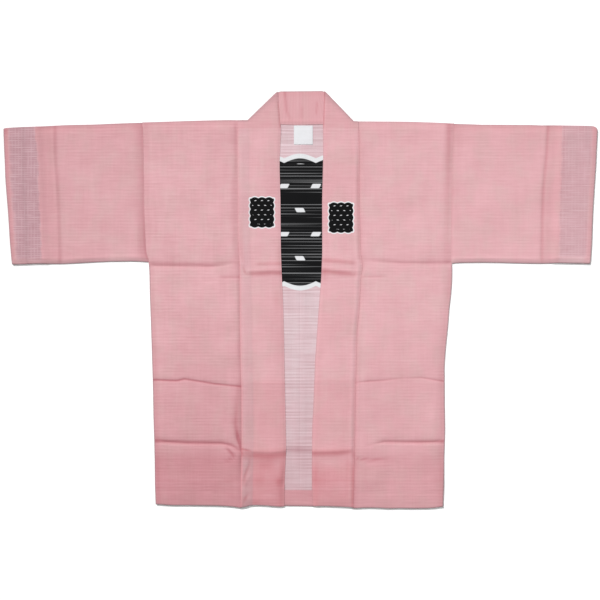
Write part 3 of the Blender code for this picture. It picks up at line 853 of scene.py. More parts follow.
    def woven_check(self, add: Add, place: Socket) -> list[tuple[str, Socket, tuple[float, ...]]]:
        """Weaves an uneven grey check with light lines into the end of the cloth.

        Args:
            add: adds a node to the material.
            place: the place on the cloth in millimetres.

        Returns:
            Its two layers: how each is blended, its share and its colour.
        """
        share = add(ATTRIBUTE, (), "Fac", attribute_name="check")
        lines = []
        waves = self.waves(add, place, (("X", 6.2), ("Y", 4.4)))
        for wave, size, most in zip(waves, ((5.0, 30.0), (30.0, 4.0)), (0.6, 1.0), strict=True):
            strong = self.uneven(add, place, (1 / size[0], 1 / size[1]), 1.0)
            line = add(MATH, (strong, 1.6, wave), operation="MULTIPLY_ADD")
            lines.append(add(RANGE, (line, 1.35, 1.95, 0.0, most)))
        line = add(MATH, lines, operation="MAXIMUM")
        reach = add(MATH, (share, 0.3), operation="POWER")
        line = add(MATH, (line, reach), operation="MULTIPLY")
        line = add(MATH, (line, 0.46), operation="MULTIPLY")
        return [("MIX", share, linear(self.check)), ("MIX", line, linear(self.pale_and_lit))]

    @staticmethod
    def uneven(
        add: Add, place: Socket, scale: tuple[float, float], detail: float,
        pitch: tuple[float, float] | None = None,
    ) -> Socket:
        """Unevenness of the yarn or the dye.

        Args:
            add: adds a node to the material.
            place: the place on the cloth in millimetres.
            scale: how fast it varies across and down, in turns a millimetre.
            detail: how much smaller detail it has.
            pitch: the steps across and down, for separate straight threads.

        Returns:
            A value near a half.
        """
        if pitch is not None:
            place = add(VECTOR, (place, (*pitch, 1.0)), operation="SNAP")
        scaled = add(VECTOR, (place, (*scale, 0.0)), operation="MULTIPLY")
        inputs = {0: scaled, "Scale": 1.0, "Detail": detail, "Roughness": 0.55}
        return add(NOISE, inputs, noise_dimensions="2D")

    @staticmethod
    def waves(add: Add, place: Socket, sets: Sequence[tuple[str, float]]) -> list[Socket]:
        """Sets of threads or ribs, each from 0 to 1 across an axis at a pitch in millimetres.

        Args:
            add: adds a node to the material.
            place: the place on the cloth in millimetres.
            sets: the axis and the pitch of each.

        Returns:
            Their heights.
        """
        wander = {"Distortion": 0.35, "Detail": 1.0, "Detail Scale": 0.4}
        return [
            add(WAVE, {0: place, "Scale": math.pi / 10 / pitch, **wander}, "Fac", bands_direction=axis)
            for axis, pitch in sets
        ]


# ---- Making cloth ----


def placed(name: str, data: bpy.types.ID) -> bpy.types.Object:
    """Makes an object of a mesh, a light or a camera, and links it to the scene.

    Args:
        name: the object's name.
        data: what it shows.

    Returns:
        The object.
    """
    made = bpy.data.objects.new(name, data)
    bpy.context.scene.collection.objects.link(made)
    return made


def meshed(name: str, shape: bmesh.types.BMesh) -> bpy.types.Mesh:
    """Makes a mesh of a finished shape.

    Args:
        name: the mesh's name.
        shape: the shape, which is freed.

    Returns:
        The mesh.
    """
    mesh = bpy.data.meshes.new(name)
    shape.to_mesh(mesh)
    shape.free()
    return mesh


@dataclass
class ClothGrid:
    """A grid of points that becomes one sheet of cloth.

    x, drop and z are given by row and column. cloth and motif are places on the cloth itself, for
    its weave and its print; the painted light and shade, the dark rims of painted shade and wear,
    and the check colour it. kept says which faces stay.
    """

    name: str
    x: Array
    drop: Array
    z: Array
    cloth: tuple[Array, Array]
    motif: tuple[Array, Array]
    tone: Array
    shade_and_wear: Array
    check: Array | None = None
    calm: Array | None = None  # how far the weave is muted
    kept: Array | None = None
    taper: Array | None = None  # the share of the wall that is left at each column

    def build(
        self, wall: float, materials: Sequence[bpy.types.Material], rounding: float = 0.0
    ) -> bpy.types.Object:
        """Makes the closed shell.

        Args:
            wall: the thickness of the cloth.
            materials: its face and its reverse.
            rounding: how far its cut edges are rounded, 0 for plain ones.

        Returns:
            The finished object, in place and linked to the scene.
        """
        rows, columns = self.x.shape[0] - 1, self.x.shape[1] - 1
        sheet = bmesh.new()
        bmesh.ops.create_grid(sheet, x_segments=columns, y_segments=rows, size=1.0)
        mesh = bpy.data.meshes.new(self.name)
        sheet.to_mesh(mesh)
        flat = np.empty(len(mesh.vertices) * 3, np.float32)
        mesh.vertices.foreach_get("co", flat)
        flat = flat.reshape(-1, 3)
        column = np.rint((flat[:, 0] + 1) / 2 * columns).astype(int)
        row = np.rint((flat[:, 1] + 1) / 2 * rows).astype(int)
        points = np.stack([self.x, SHOULDER_Y - self.drop, self.z], axis=-1)[row, column] * MM
        mesh.vertices.foreach_set("co", points.astype(np.float32).ravel())
        corner = np.empty(len(mesh.loops), np.int32)
        mesh.loops.foreach_get("vertex_index", corner)
        for label, (u, v) in (("cloth", self.cloth), ("motif", self.motif)):
            layer = mesh.uv_layers.new(name=label)
            values = np.stack([u, v], axis=-1)[row, column][corner] * MM
            layer.data.foreach_set("uv", values.astype(np.float32).ravel())
        for label in ("tone", "shade_and_wear", "check", "calm"):
            values = getattr(self, label)
            if values is not None:
                layer = mesh.attributes.new(label, "FLOAT", "POINT")
                layer.data.foreach_set("value", values[row, column].astype(np.float32))
        sheet.clear()
        sheet.from_mesh(mesh)
        if self.taper is not None:
            weights = sheet.verts.layers.deform.verify()
            for vertex, at in zip(sheet.verts, column):
                vertex[weights][0] = float(self.taper[at])
        if self.kept is not None:
            sheet.faces.ensure_lookup_table()
            corners = [[vertex.index for vertex in face.verts] for face in sheet.faces]
            stays = self.kept[row[corners].min(axis=1), column[corners].min(axis=1)]
            unwanted = [face for face, kept in zip(sheet.faces, stays) if not kept]
            bmesh.ops.delete(sheet, geom=unwanted, context="FACES")
        bmesh.ops.remove_doubles(sheet, verts=sheet.verts, dist=2e-6)
        self.face_up(sheet)
        sheet.to_mesh(mesh)
        sheet.free()
        return self.shell(mesh, wall, materials, rounding)

    @staticmethod
    def face_up(sheet: bmesh.types.BMesh) -> None:
        """Turns the sheet so that the highest cloth shows its printed face.

        Args:
            sheet: the sheet to turn.
        """
        sheet.normal_update()
        highest = max(sheet.faces, key=lambda face: face.calc_center_median().z * (abs(face.normal.z) > 0.9))
        if highest.normal.z < 0:
            bmesh.ops.reverse_faces(sheet, faces=sheet.faces)

    def shell(
        self, mesh: bpy.types.Mesh, wall: float, materials: Sequence[bpy.types.Material], rounding: float
    ) -> bpy.types.Object:
        """Gives the sheet its thickness and its finishes.

        Args:
            mesh: the sheet.
            wall: the thickness of the cloth.
            materials: its face and its reverse.
            rounding: how far its cut edges are rounded.

        Returns:
            The finished object.
        """
        for material in materials:
            mesh.materials.append(material)
        draft = placed(self.name + "_draft", mesh)
        thick = draft.modifiers.new("Cloth wall", "SOLIDIFY")
        thick.thickness, thick.offset = wall * MM, 0.0
        thick.use_even_offset = True
        thick.thickness_clamp = 0.0
        thick.material_offset = len(materials) - 1
        if self.taper is not None:
            thick.vertex_group = draft.vertex_groups.new(name="wall").name
        if rounding:
            bevel = draft.modifiers.new("Folded edge", "BEVEL")
            bevel.width, bevel.segments, bevel.limit_method = rounding * MM, 2, "ANGLE"
            bevel.angle_limit = math.radians(60)
        graph = bpy.context.evaluated_depsgraph_get()
        shown = draft.evaluated_get(graph)
        final = bpy.data.meshes.new_from_object(shown, preserve_all_data_layers=True, depsgraph=graph)
        bpy.data.objects.remove(draft, do_unlink=True)
        final.name = self.name
        final.shade_smooth()
        final.set_sharp_from_angle(angle=SHARP_EDGE)
        return placed(self.name, final)


def distance_along(x: Array, drop: Array, z: Array) -> Array:
    """How far along its own length each row lies, measured down the middle column.

    Args:
        x: the points' x.
        drop: the points' drop.
        z: the points' height.

    Returns:
        The distances by row.
    """
    middle = x.shape[1] // 2
    steps = np.sqrt(sum(np.diff(axis[:, middle]) ** 2 for axis in (x, drop, z)))
    return np.concatenate([[0.0], np.cumsum(steps)])


# ---- The body ----


class Ply(Enum):
    """The plies of a body length, in the order in which its cloth runs."""

    BACK_TURN = 0
    BACK_HEM = 1
    BACK = 2
    SHOULDER = 3
    FRONT = 4
    FRONT_HEM = 5
    FRONT_TURN = 6


@dataclass
class BodyPoints:
    """The points of a body length by row and column, and where they lie on it."""

    x: Array
    drop: Array
    level: Array  # the drop that the row has where the edges are straight
    is_front: Array
    laid: Array  # in neither a fold nor a turned-up hem
    turned: Array  # in a turned-up hem
    from_edge: Array  # in from the side edge
    from_seam: Array  # out from the collar seam


@dataclass
class BodyLength:
    """One length of cloth from its back hem over the shoulder to its front hem."""

    cut: HalfCut
    face: bpy.types.Material
    reverse: bpy.types.Material
    row_step: float = 4.2
    back_row_step: float = 6.0
    column_step: float = 4.2
    lift: float = 1.7  # the air between the front and the back
    allowance: float = 9.0  # the seam allowance that shows as a low ridge
    front_width: float = 183.0  # to the collar seam, for turning lengths into shares
    back_width: float = 120.0  # from the collar seam to the centre, for the same
    lap: float = 1.4  # how far the cloth goes on under the band
    turn_inset: float = 2.2  # how far in the turned-up hems end at the side
    left_calm: float = 0.2  # how far the left front's weave is pressed flat

    def rows(self) -> tuple[Array, Array, Array, Array]:
        """The rows of the length.

        Returns:
            Their levels, their heights, their places along the cloth, and their plies.
        """
        centre = HEM_DROP - FOLD_INSET
        middle_back = (BACK_Z + BACK_TURN_Z) / 2
        middle_front = (FRONT_OVER_HEMS_Z + FRONT_TURN_Z) / 2
        half = turn(0, 180)
        flat_back = spaced(centre, FOLD_INSET, self.back_row_step, [
            (HEM_TOP, 12, 2.5), (640, 26, 2.5), (505, 14, 3), (20, 30, 4),
        ])
        inner = 0 if self.cut.side is Side.LEFT else -1
        flat_front = spaced(FOLD_INSET, centre, self.row_step, [
            *((crease[inner][1], 13, 1.5) for crease in self.cut.creases),
            (304, 8, 2), (HEM_TOP - 8, 20, 2.2), (centre, 12, 2), (8, 10, 2),
        ])
        lows = centre + TURN_RADIUS * np.sin(half)
        highs = FOLD_INSET - TURN_RADIUS * np.sin(half)
        swing = TURN_RADIUS * np.cos(half)
        turned = spaced(HEM_TOP, centre, 4)
        stretches = (
            (Ply.BACK_TURN, turned, BACK_TURN_Z, 2 * HEM_DROP - turned),
            (Ply.BACK_HEM, lows, middle_back + swing, lows),
            (Ply.BACK, flat_back, BACK_Z, flat_back),
            (Ply.SHOULDER, highs, (BACK_Z + FRONT_Z) / 2 - swing, highs * np.cos(half)),
            (Ply.FRONT, flat_front, front_height(flat_front), -flat_front),
            (Ply.FRONT_HEM, lows, middle_front + swing, -lows),
            (Ply.FRONT_TURN, turned[::-1], FRONT_TURN_Z, turned[::-1] - 2 * HEM_DROP),
        )
        levels, heights, along = (
            np.concatenate([stretch[i] + 0 * stretch[1] for stretch in stretches]) for i in (1, 2, 3)
        )
        counts = [len(stretch[1]) for stretch in stretches]
        plies = np.repeat([stretch[0].value for stretch in stretches], counts)
        return levels, heights, along, plies

    def build(self) -> bpy.types.Object:
        """Makes the length.

        Returns:
            Its finished object.
        """
        cut = self.cut
        sign = cut.side.value
        levels, heights, along, plies = self.rows()
        width, back_width = self.front_width, self.back_width
        front_shares = spaced(0, width, self.column_step, [(0, 14, 1.6), (width, 14, 1.6)]) / width
        back_shares = spaced(0, back_width, self.column_step, [(back_width, 14, 1.8)])[1:] / back_width
        last_front = len(front_shares) - 1
        shares = np.concatenate([front_shares, 1 + back_shares])[None, :]
        level, z, ply = levels[:, None], heights[:, None], plies[:, None]
        across = np.minimum(shares, 1)
        past = np.clip(shares - 1, 0, 1)
        is_front = ply >= Ply.SHOULDER.value
        turned = (ply == Ply.BACK_TURN.value) | (ply == Ply.FRONT_TURN.value)
        laid = (ply == Ply.BACK.value) | (ply == Ply.FRONT.value)

        drop = level + np.zeros(shares.shape)
        rough_x = sign * blend(reading(cut.side_edge, drop), reading(cut.collar_seam, drop), across)
        for crease in cut.creases:
            at_seam = crease[0 if sign > 0 else -1][1]
            wander = reading(crease, rough_x, 3) - at_seam
            drop = drop + is_front * wander * np.clip(1 - np.abs(level - at_seam) / 60, 0, 1)
        rough_x = np.where(shares <= 1, rough_x, rough_x * (1 - past))
        hem = np.where(is_front, reading(cut.front_hem, across, 0.03), reading(BACK_HEM, rough_x))
        drop = drop + (hem - HEM_DROP) * near_hem(level)
        drop = drop + cut.fall(across) * (1 - past) * falls(level, 40)

        edge = reading(cut.side_edge, drop)
        inner = reading(cut.collar_seam, drop) - self.lap
        on_front = blend(edge - self.turn_inset * turned, inner, across)
        reach = np.where(shares <= 1, on_front, blend(inner, 0, past))
        x = sign * reach
        points = BodyPoints(x, drop, level, is_front, laid, turned, edge - reach, reach - inner)
        v = along[:, None] + np.where(is_front, level - drop, drop - level)
        kept = np.ones((len(levels) - 1, shares.shape[1] - 1), bool)
        over = (levels < NECK_DROP) | (plies >= Ply.SHOULDER.value)
        kept[:, last_front:] = ~(over[:-1] | over[1:])[:, None]
        grid = ClothGrid(
            name=f"body_{cut.side.name.lower()}_cloth",
            x=x, drop=drop, z=self.heights(points, z), cloth=(x, v), motif=(x, v - MOTIF_DROP),
            tone=self.lights_and_shades(points), shade_and_wear=self.shades_and_wears(points), kept=kept,
            calm=is_front * cut.side.pick(0, self.left_calm) + 0 * x,
        )
        return grid.build(CLOTH_WALL, (self.face, self.reverse))

    def heights(self, at: BodyPoints, flat: Array) -> Array:
        """Settles each point of the length on the cloth below it.

        Args:
            at: the points.
            flat: the rows' heights when the cloth lies quite flat.

        Returns:
            The settled heights.
        """
        x, drop, level, from_edge, from_seam = at.x, at.drop, at.level, at.from_edge, at.from_seam
        lie = BODY_LIE[self.cut.side]
        inner = BACK_LIE.rise(x, drop) + BACK_LIE.unevenness(x, drop) * rises(from_edge, 30)
        centre_ridge = 0.35 * falls(np.abs(x), 4, 9) * rises(np.abs(x), 1.8)
        low = BACK_Z + (inner + centre_ridge) * ends(level, 20, HEM_TOP + 4)
        air = self.lift * rises(from_edge, 22, -1) * rises(drop, 22, -3) * above_hem(level)
        air = air * (1 - 0.8 * over_hems(level))
        rise = lie.rise(x, drop) + lie.unevenness(x, drop) * rises(from_edge, 30)
        rise = rise * rises(drop, 14) * above_hem(level)
        ridge = 0.55 * falls(from_edge - self.allowance, 3.5) * rises(from_edge, 1.6) * rises(drop, 8)
        pucker = 0.10 * np.sin(drop * 2 * math.pi / 13 + np.sin(drop / 31) * 2) * bell(from_seam, 9)
        stitched = -0.25 * bell(level, 1.6, HEM_TOP + 3)
        front = flat + air + rise + ridge * above_armpit(drop) + pucker * rises(drop, 14) + stitched
        soft = blend(self.cut.side.pick(17, 9), 9, rises(drop, 40, 240))
        front = blend(seam_height(self.cut, drop), front, rises(from_seam, soft, -0.5))
        front = np.maximum(front, low + PLY_CLEARANCE + np.maximum(flat - FRONT_Z, 0))
        lying = np.where(at.laid, np.where(at.is_front, front, low), flat)
        # the side seam closes the two plies below the armhole
        open_share = ends(drop, 8, ARMPIT_DROP + 12)
        half_gap = CLOTH_WALL / 2 + 0.01
        middle = blend(BACK_Z, front_height(level), 0.5) + np.where(at.is_front, half_gap, -half_gap)
        roundness = np.sqrt(np.clip(1 - (1 - np.clip(from_edge / 4, 0, 1)) ** 2, 0, 1))
        closed = middle + (lying - middle) * roundness
        return np.where(at.laid, blend(closed, lying, open_share), lying)

    @staticmethod
    def shades_and_wears(at: BodyPoints) -> Array:
        """The dark rim painted along the folded edges, as shade and wear.

        Args:
            at: the points.

        Returns:
            The shares of the colour of painted shade and wear.
        """
        side = bell(at.from_edge, 1.6) * rises(at.drop, 6, ARMPIT_DROP + 4)
        hem, shoulder = bell(at.level, 2.2, HEM_DROP), bell(at.level, 1.8)
        return np.clip(0.75 * side + 0.75 * hem + 0.55 * shoulder, 0, 1)

    def lights_and_shades(self, at: BodyPoints) -> Array:
        """The light and shade painted into the colour.

        Args:
            at: the points.

        Returns:
            How much shade is painted at each point, from -1 for painted light to 1 for painted shade.
        """
        x, drop, level, from_edge, from_seam = at.x, at.drop, at.level, at.from_edge, at.from_seam
        lie, pick = BODY_LIE[self.cut.side], self.cut.side.pick
        # painted shade: the lower end is darker, below its creases and where several plies lie under it
        low_end = 0.25 * rises(drop, 260, 330) + 0.32 * rises(drop, 36, 629)
        hem = -0.06 * rises(level, 8, 715) - 0.08 * bell(level, 7, 704)
        edge_strip = 0.16 * bell(from_edge, 5, 5) * rises(drop, 10, ARMPIT_DROP + 8)
        if self.cut.side is Side.LEFT:  # its seam allowance is pressed towards the body, and shade is painted along it
            arm_strip = 0.46 * bell(from_edge, 6, 9.5) + 0.14 * bell(from_edge, 2.5, 2)
            arm_strip = arm_strip * above_armpit(drop) * (1 - 0.6 * rises(drop, 200, 30))
        else:
            arm_strip = 0.10 * bell(from_edge, 5, 6) * above_armpit(drop)
        # painted shade along the collar seam
        seam_line = (0.22 * bell(from_seam, 4) + 0.14 * bell(from_seam, 10)) * rises(drop, 30, -2)
        shoulder = pick(0.13, 0.08) * falls(drop, 100) + pick(0.05, 0)
        if self.cut.side is Side.RIGHT:  # painted seam shade: soft above the fold at its waist, hardly any at its hem
            seam_line = seam_line * blend(0.35, 1, rises(drop, 60, 200))
            upper = falls(drop, 40, 90)
            seam_line = seam_line + 0.24 * bell(from_seam, 3, 5.5) * upper * rises(drop, 12)
            seam_line = seam_line + 0.14 * bell(from_seam, 6.5, 8) * (1 - upper) * falls(drop, 24, 268)
            seam_line = seam_line * (1 - 0.7 * rises(drop, 20, 655))
        else:
            seam_line = seam_line - 0.06 * bell(from_seam, 6, 14)
            low_end, hem = low_end * 0.62, hem * 0.5
        front = low_end + hem + edge_strip + arm_strip + seam_line + shoulder
        # painted shade along the folds and along the shoulder line
        front = front + lie.depth(x, drop) + 0.10 * bell(drop, 6, 3)
        # the back's inside: painted shade, darker towards its lower end and by the neck
        back = 0.30 * rises(drop, 220, 420) + BACK_LIE.depth(x, drop) + 0.10 * rises(drop, 20, 636)
        back = back + 0.18 * falls(drop, 60, 15) - 0.05 * falls(drop, 60, 420)
        return np.where(at.turned, 0.5, np.where(at.is_front, front, back))


# ---- The sleeves ----


@dataclass
class Sleeve:
    """One sleeve, a flattened tube whose cuff end is turned back inside."""

    cut: HalfCut
    face: bpy.types.Material
    reverse: bpy.types.Material
    ring_step: float = 4.5
    length: float = 270.0  # from the armhole to the cuff, for turning lengths into shares
    depth: float = 270.0  # from the top to the bottom, for the same
    lift: float = 1.4  # the air between its front and its back
    lap: float = 1.2  # how far it goes on under the body's edge
    left_calm: float = 0.15  # how far the left one's weave is pressed flat
    crease_share: float = 0.655  # where its pressed crease lies, from the armhole to the cuff

    def rings(self) -> tuple[Array, Array, Array, Array, Array]:
        """The rings from the armhole to the cuff, round it and back inside.

        Returns:
            Their shares of the length, insets, half heights, outer half heights and places along.
        """
        thin, thick = TURN_RADIUS, 3 * TURN_RADIUS
        turned = 1 - CUFF_TURN / self.length
        end = self.length - 1.35
        close = [
            (self.crease_share * self.length, 16, 1.5), (0.0, 14, 1.8), (turned * self.length, 10, 2.5),
            (self.length, 8, 2.0),
        ]
        table = []
        for place in spaced(0, end, self.ring_step, close):
            share = place / self.length
            half = blend(thin, thick, float(rises(share - turned, 0.05, -0.07)))
            table.append((share, 0.0, half, half, place))
        middle = (thin + thick) / 2
        for angle in turn(0, 180):
            inset = FOLD_INSET - TURN_RADIUS * math.sin(angle)
            table.append((1.0, inset, middle + TURN_RADIUS * math.cos(angle), thick, self.length))
        for place in spaced(end, turned * self.length, 5):
            table.append((place / self.length, 0.0, thin, thick, 2 * self.length - place))
        return tuple(np.array([row[i] for row in table])[:, None] for i in range(5))

    def around(self) -> tuple[Array, Array]:
        """The points round the tube.

        Returns:
            Their shares from its top to its bottom, and their angles.
        """
        front = spaced(0, self.depth, 4.5, [(0, 12, 2.0), (self.depth, 16, 2.0)]) / self.depth
        back = spaced(0, self.depth, 8) / self.depth
        half = math.pi / 2
        share = np.concatenate([back, np.ones(5), front[::-1], np.zeros(5), [0.0]])
        angle = np.concatenate(
            [np.full(len(back), -half), turn(-90, 90), np.full(len(front), half), turn(90, 270), [3 * half]]
        )
        return share[None, :], angle[None, :]

    def build(self) -> bpy.types.Object:
        """Makes the sleeve.

        Returns:
            Its finished object.
        """
        cut = self.cut
        sign = cut.side.value
        share, inset, half_height, outer, along = self.rings()
        down, angle = self.around()
        lie = SLEEVE_LIE[cut.side]
        edge = FOLD_INSET - TURN_RADIUS + outer
        along_top, along_bottom = (
            blend(reading(cut.side_edge, end), reading(cut.cuff, end), share)
            for end in (np.array(12.0), np.array(274.0))
        )
        top = reading(cut.sleeve_top, along_top, 1.5) + edge
        bottom = reading(cut.sleeve_bottom, along_bottom) - edge
        drop = blend(top, bottom, down) + half_height * np.cos(angle)
        armhole = reading(cut.side_edge, drop) - self.lap
        cuff = reading(cut.cuff, drop)
        reach = blend(armhole, cuff, share) - inset
        x = sign * reach
        flat = BACK_Z + outer + half_height * np.sin(angle)
        on_front = np.clip(np.sin(angle), 0, 1) ** 4
        outer_ply = along <= self.length
        from_cuff, from_bottom = cuff - reach, bottom - drop
        window = rises(drop - top, 16) * rises(from_bottom, 8) * rises(from_cuff, 12)
        from_arm = reach - armhole - self.lap
        air = self.lift * window
        rise = lie.rise(x, drop) * np.maximum(window, 0.25) + lie.unevenness(x, drop) * window
        dip = -0.75 * bell(from_arm, 3.2) - 0.45 * bell(from_arm, 9)
        seam = 0.35 * falls(from_bottom, 3, 9) * rises(from_bottom, 3)
        lifted_by = np.maximum(air + rise + dip * np.maximum(window, 0.4) + seam, -0.25)
        z = flat + on_front * outer_ply * lifted_by
        # dark rims painted along the folded edges and the cuff as shade and wear, with dust by the check
        shade_and_wear = 0.6 * bell(drop - top + edge, 1.6) + 0.75 * bell(bottom + edge - drop, 2)
        shade_and_wear = shade_and_wear + 0.7 * bell(from_cuff, 1.8) + self.dusty(drop, from_cuff)
        # the back's cloth, and the turned-in end's, carry on the weave where the front's leaves off
        front_side = np.sin(angle) > -0.5
        v = np.where(front_side, drop, 20 - drop)
        u = np.where(outer_ply, x, x + sign * 2 * from_cuff + sign * 12)
        check = self.check(drop, from_cuff) + np.zeros(x.shape)
        far = np.full(x.shape, OFF_PRINT)
        grid = ClothGrid(
            name=f"sleeve_{cut.side.name.lower()}_cloth",
            x=x, drop=drop, z=z, cloth=(u, v), motif=(far, far), check=check,
            tone=np.where(outer_ply, self.lights_and_shades(x, drop, drop - top, from_bottom, from_cuff, from_arm), 0.3),
            shade_and_wear=np.clip(shade_and_wear, 0, 1) + np.zeros(x.shape),
            calm=cut.side.pick(0, self.left_calm) * (1 - check),
        )
        return grid.build(CLOTH_WALL, (self.face, self.reverse))

    def dusty(self, drop: Array, from_cuff: Array) -> Array:
        """Args:
            drop: the points' drop.
            from_cuff: how far in from the cuff each lies.

        Returns:
            The share of dust at each point.
        """
        at_check = ends(from_cuff, 6, 62) * rises(from_cuff, 6, 8)
        if self.cut.side is Side.RIGHT:
            line = 0.20 * bell(from_cuff - blend(40, 31, drop / self.depth), 3.8)
            return line + 0.16 * falls(drop, 34) * at_check
        outer = 0.10 * bell(from_cuff, 8, 18) * falls(drop, 60, 30)
        return outer + 0.10 * falls(drop, 80, 20) * at_check

    def check(self, drop: Array, from_cuff: Array) -> Array:
        """Where the woven check is at the end of the cloth.

        Args:
            drop: the points' drop.
            from_cuff: how far in from the cuff each lies.

        Returns:
            How far the check shows at each point, from 0 to 1.
        """
        if self.cut.side is Side.RIGHT:
            outer, strength, end = 12 + 0 * drop, 1.0, 273.0
            inner = reading(((10, 61), (77, 66), (147, 63), (270, 60)), drop)
        else:
            outer, strength, end = blend(12.3, 10.6, drop / self.depth), 0.60, 268.0
            inner = blend(69.6, 62.1, drop / self.depth)
        ragged = 0.8 * np.sin(drop / 3.1) + 0.7 * np.sin(drop / 7.3 + 1)
        past_outer = eased((from_cuff - outer - 0.5 * ragged) / 3 + 0.5)
        before_inner = eased((inner - from_cuff + ragged) / 3 + 0.5)
        return strength * past_outer * before_inner * rises(end - drop, 8)

    def lights_and_shades(
        self, x: Array, drop: Array, from_top: Array, from_bottom: Array, from_cuff: Array, from_arm: Array
    ) -> Array:
        """The light and shade painted into the outer ply's colour.

        Args:
            x: the points' x.
            drop: the points' drop.
            from_top: how far each lies below the top edge.
            from_bottom: how far above the bottom edge.
            from_cuff: how far in from the cuff.
            from_arm: how far out from the armhole.

        Returns:
            How much shade is painted at each point, from -1 for painted light to 1 for painted shade.
        """
        lie, pick = SLEEVE_LIE[self.cut.side], self.cut.side.pick
        # painted shade along the armhole seam; the left seam is pressed towards the body, so less is painted
        # here
        arm = pick(0.22, 0.13) * bell(from_arm, 3) + pick(0.18, 0.08) * bell(from_arm, 9, 6)
        arm = arm * (1 + pick(0.7, -0.5) * rises(drop, pick(80, 100), pick(150, 120)))
        cuff_strip = pick(0.33, 0.14) * bell(from_cuff, 6, 4)
        # painted shade along the top fold and painted light along the bottom fold
        folds = 0.16 * bell(from_top, 7, 3) - 0.24 * bell(from_bottom, 3, 2.5)
        folds = folds - pick(0, 0.06) * bell(from_bottom, 3, 9)
        in_check = rises(from_cuff, 3, 12) * ends(from_cuff, 3, 64)
        beyond = 0.14 * rises(from_cuff, 6, 56) * ends(from_cuff, 10, 100)
        # painted shade over the whole sleeve, most near its top
        shade = pick(0.13, 0.04) + 0.11 * falls(drop, 90)
        shade = shade - 0.03 * rises(drop, 70, 160) + pick(0, -0.25) * in_check
        return arm + cuff_strip + folds + beyond + shade + lie.depth(x, drop)


# ---- The collar ----


@dataclass
class BandPoints:
    """The points of the collar band by row and column, and where they lie on it."""

    x: Array
    drop: Array
    from_seam: Array
    right_half: Array
    from_hem: Array  # in rows, from the nearer hem
    past_right: Array  # in rows, from the top of the right lapel; below zero on it
    past_left: Array  # the same for the left lapel


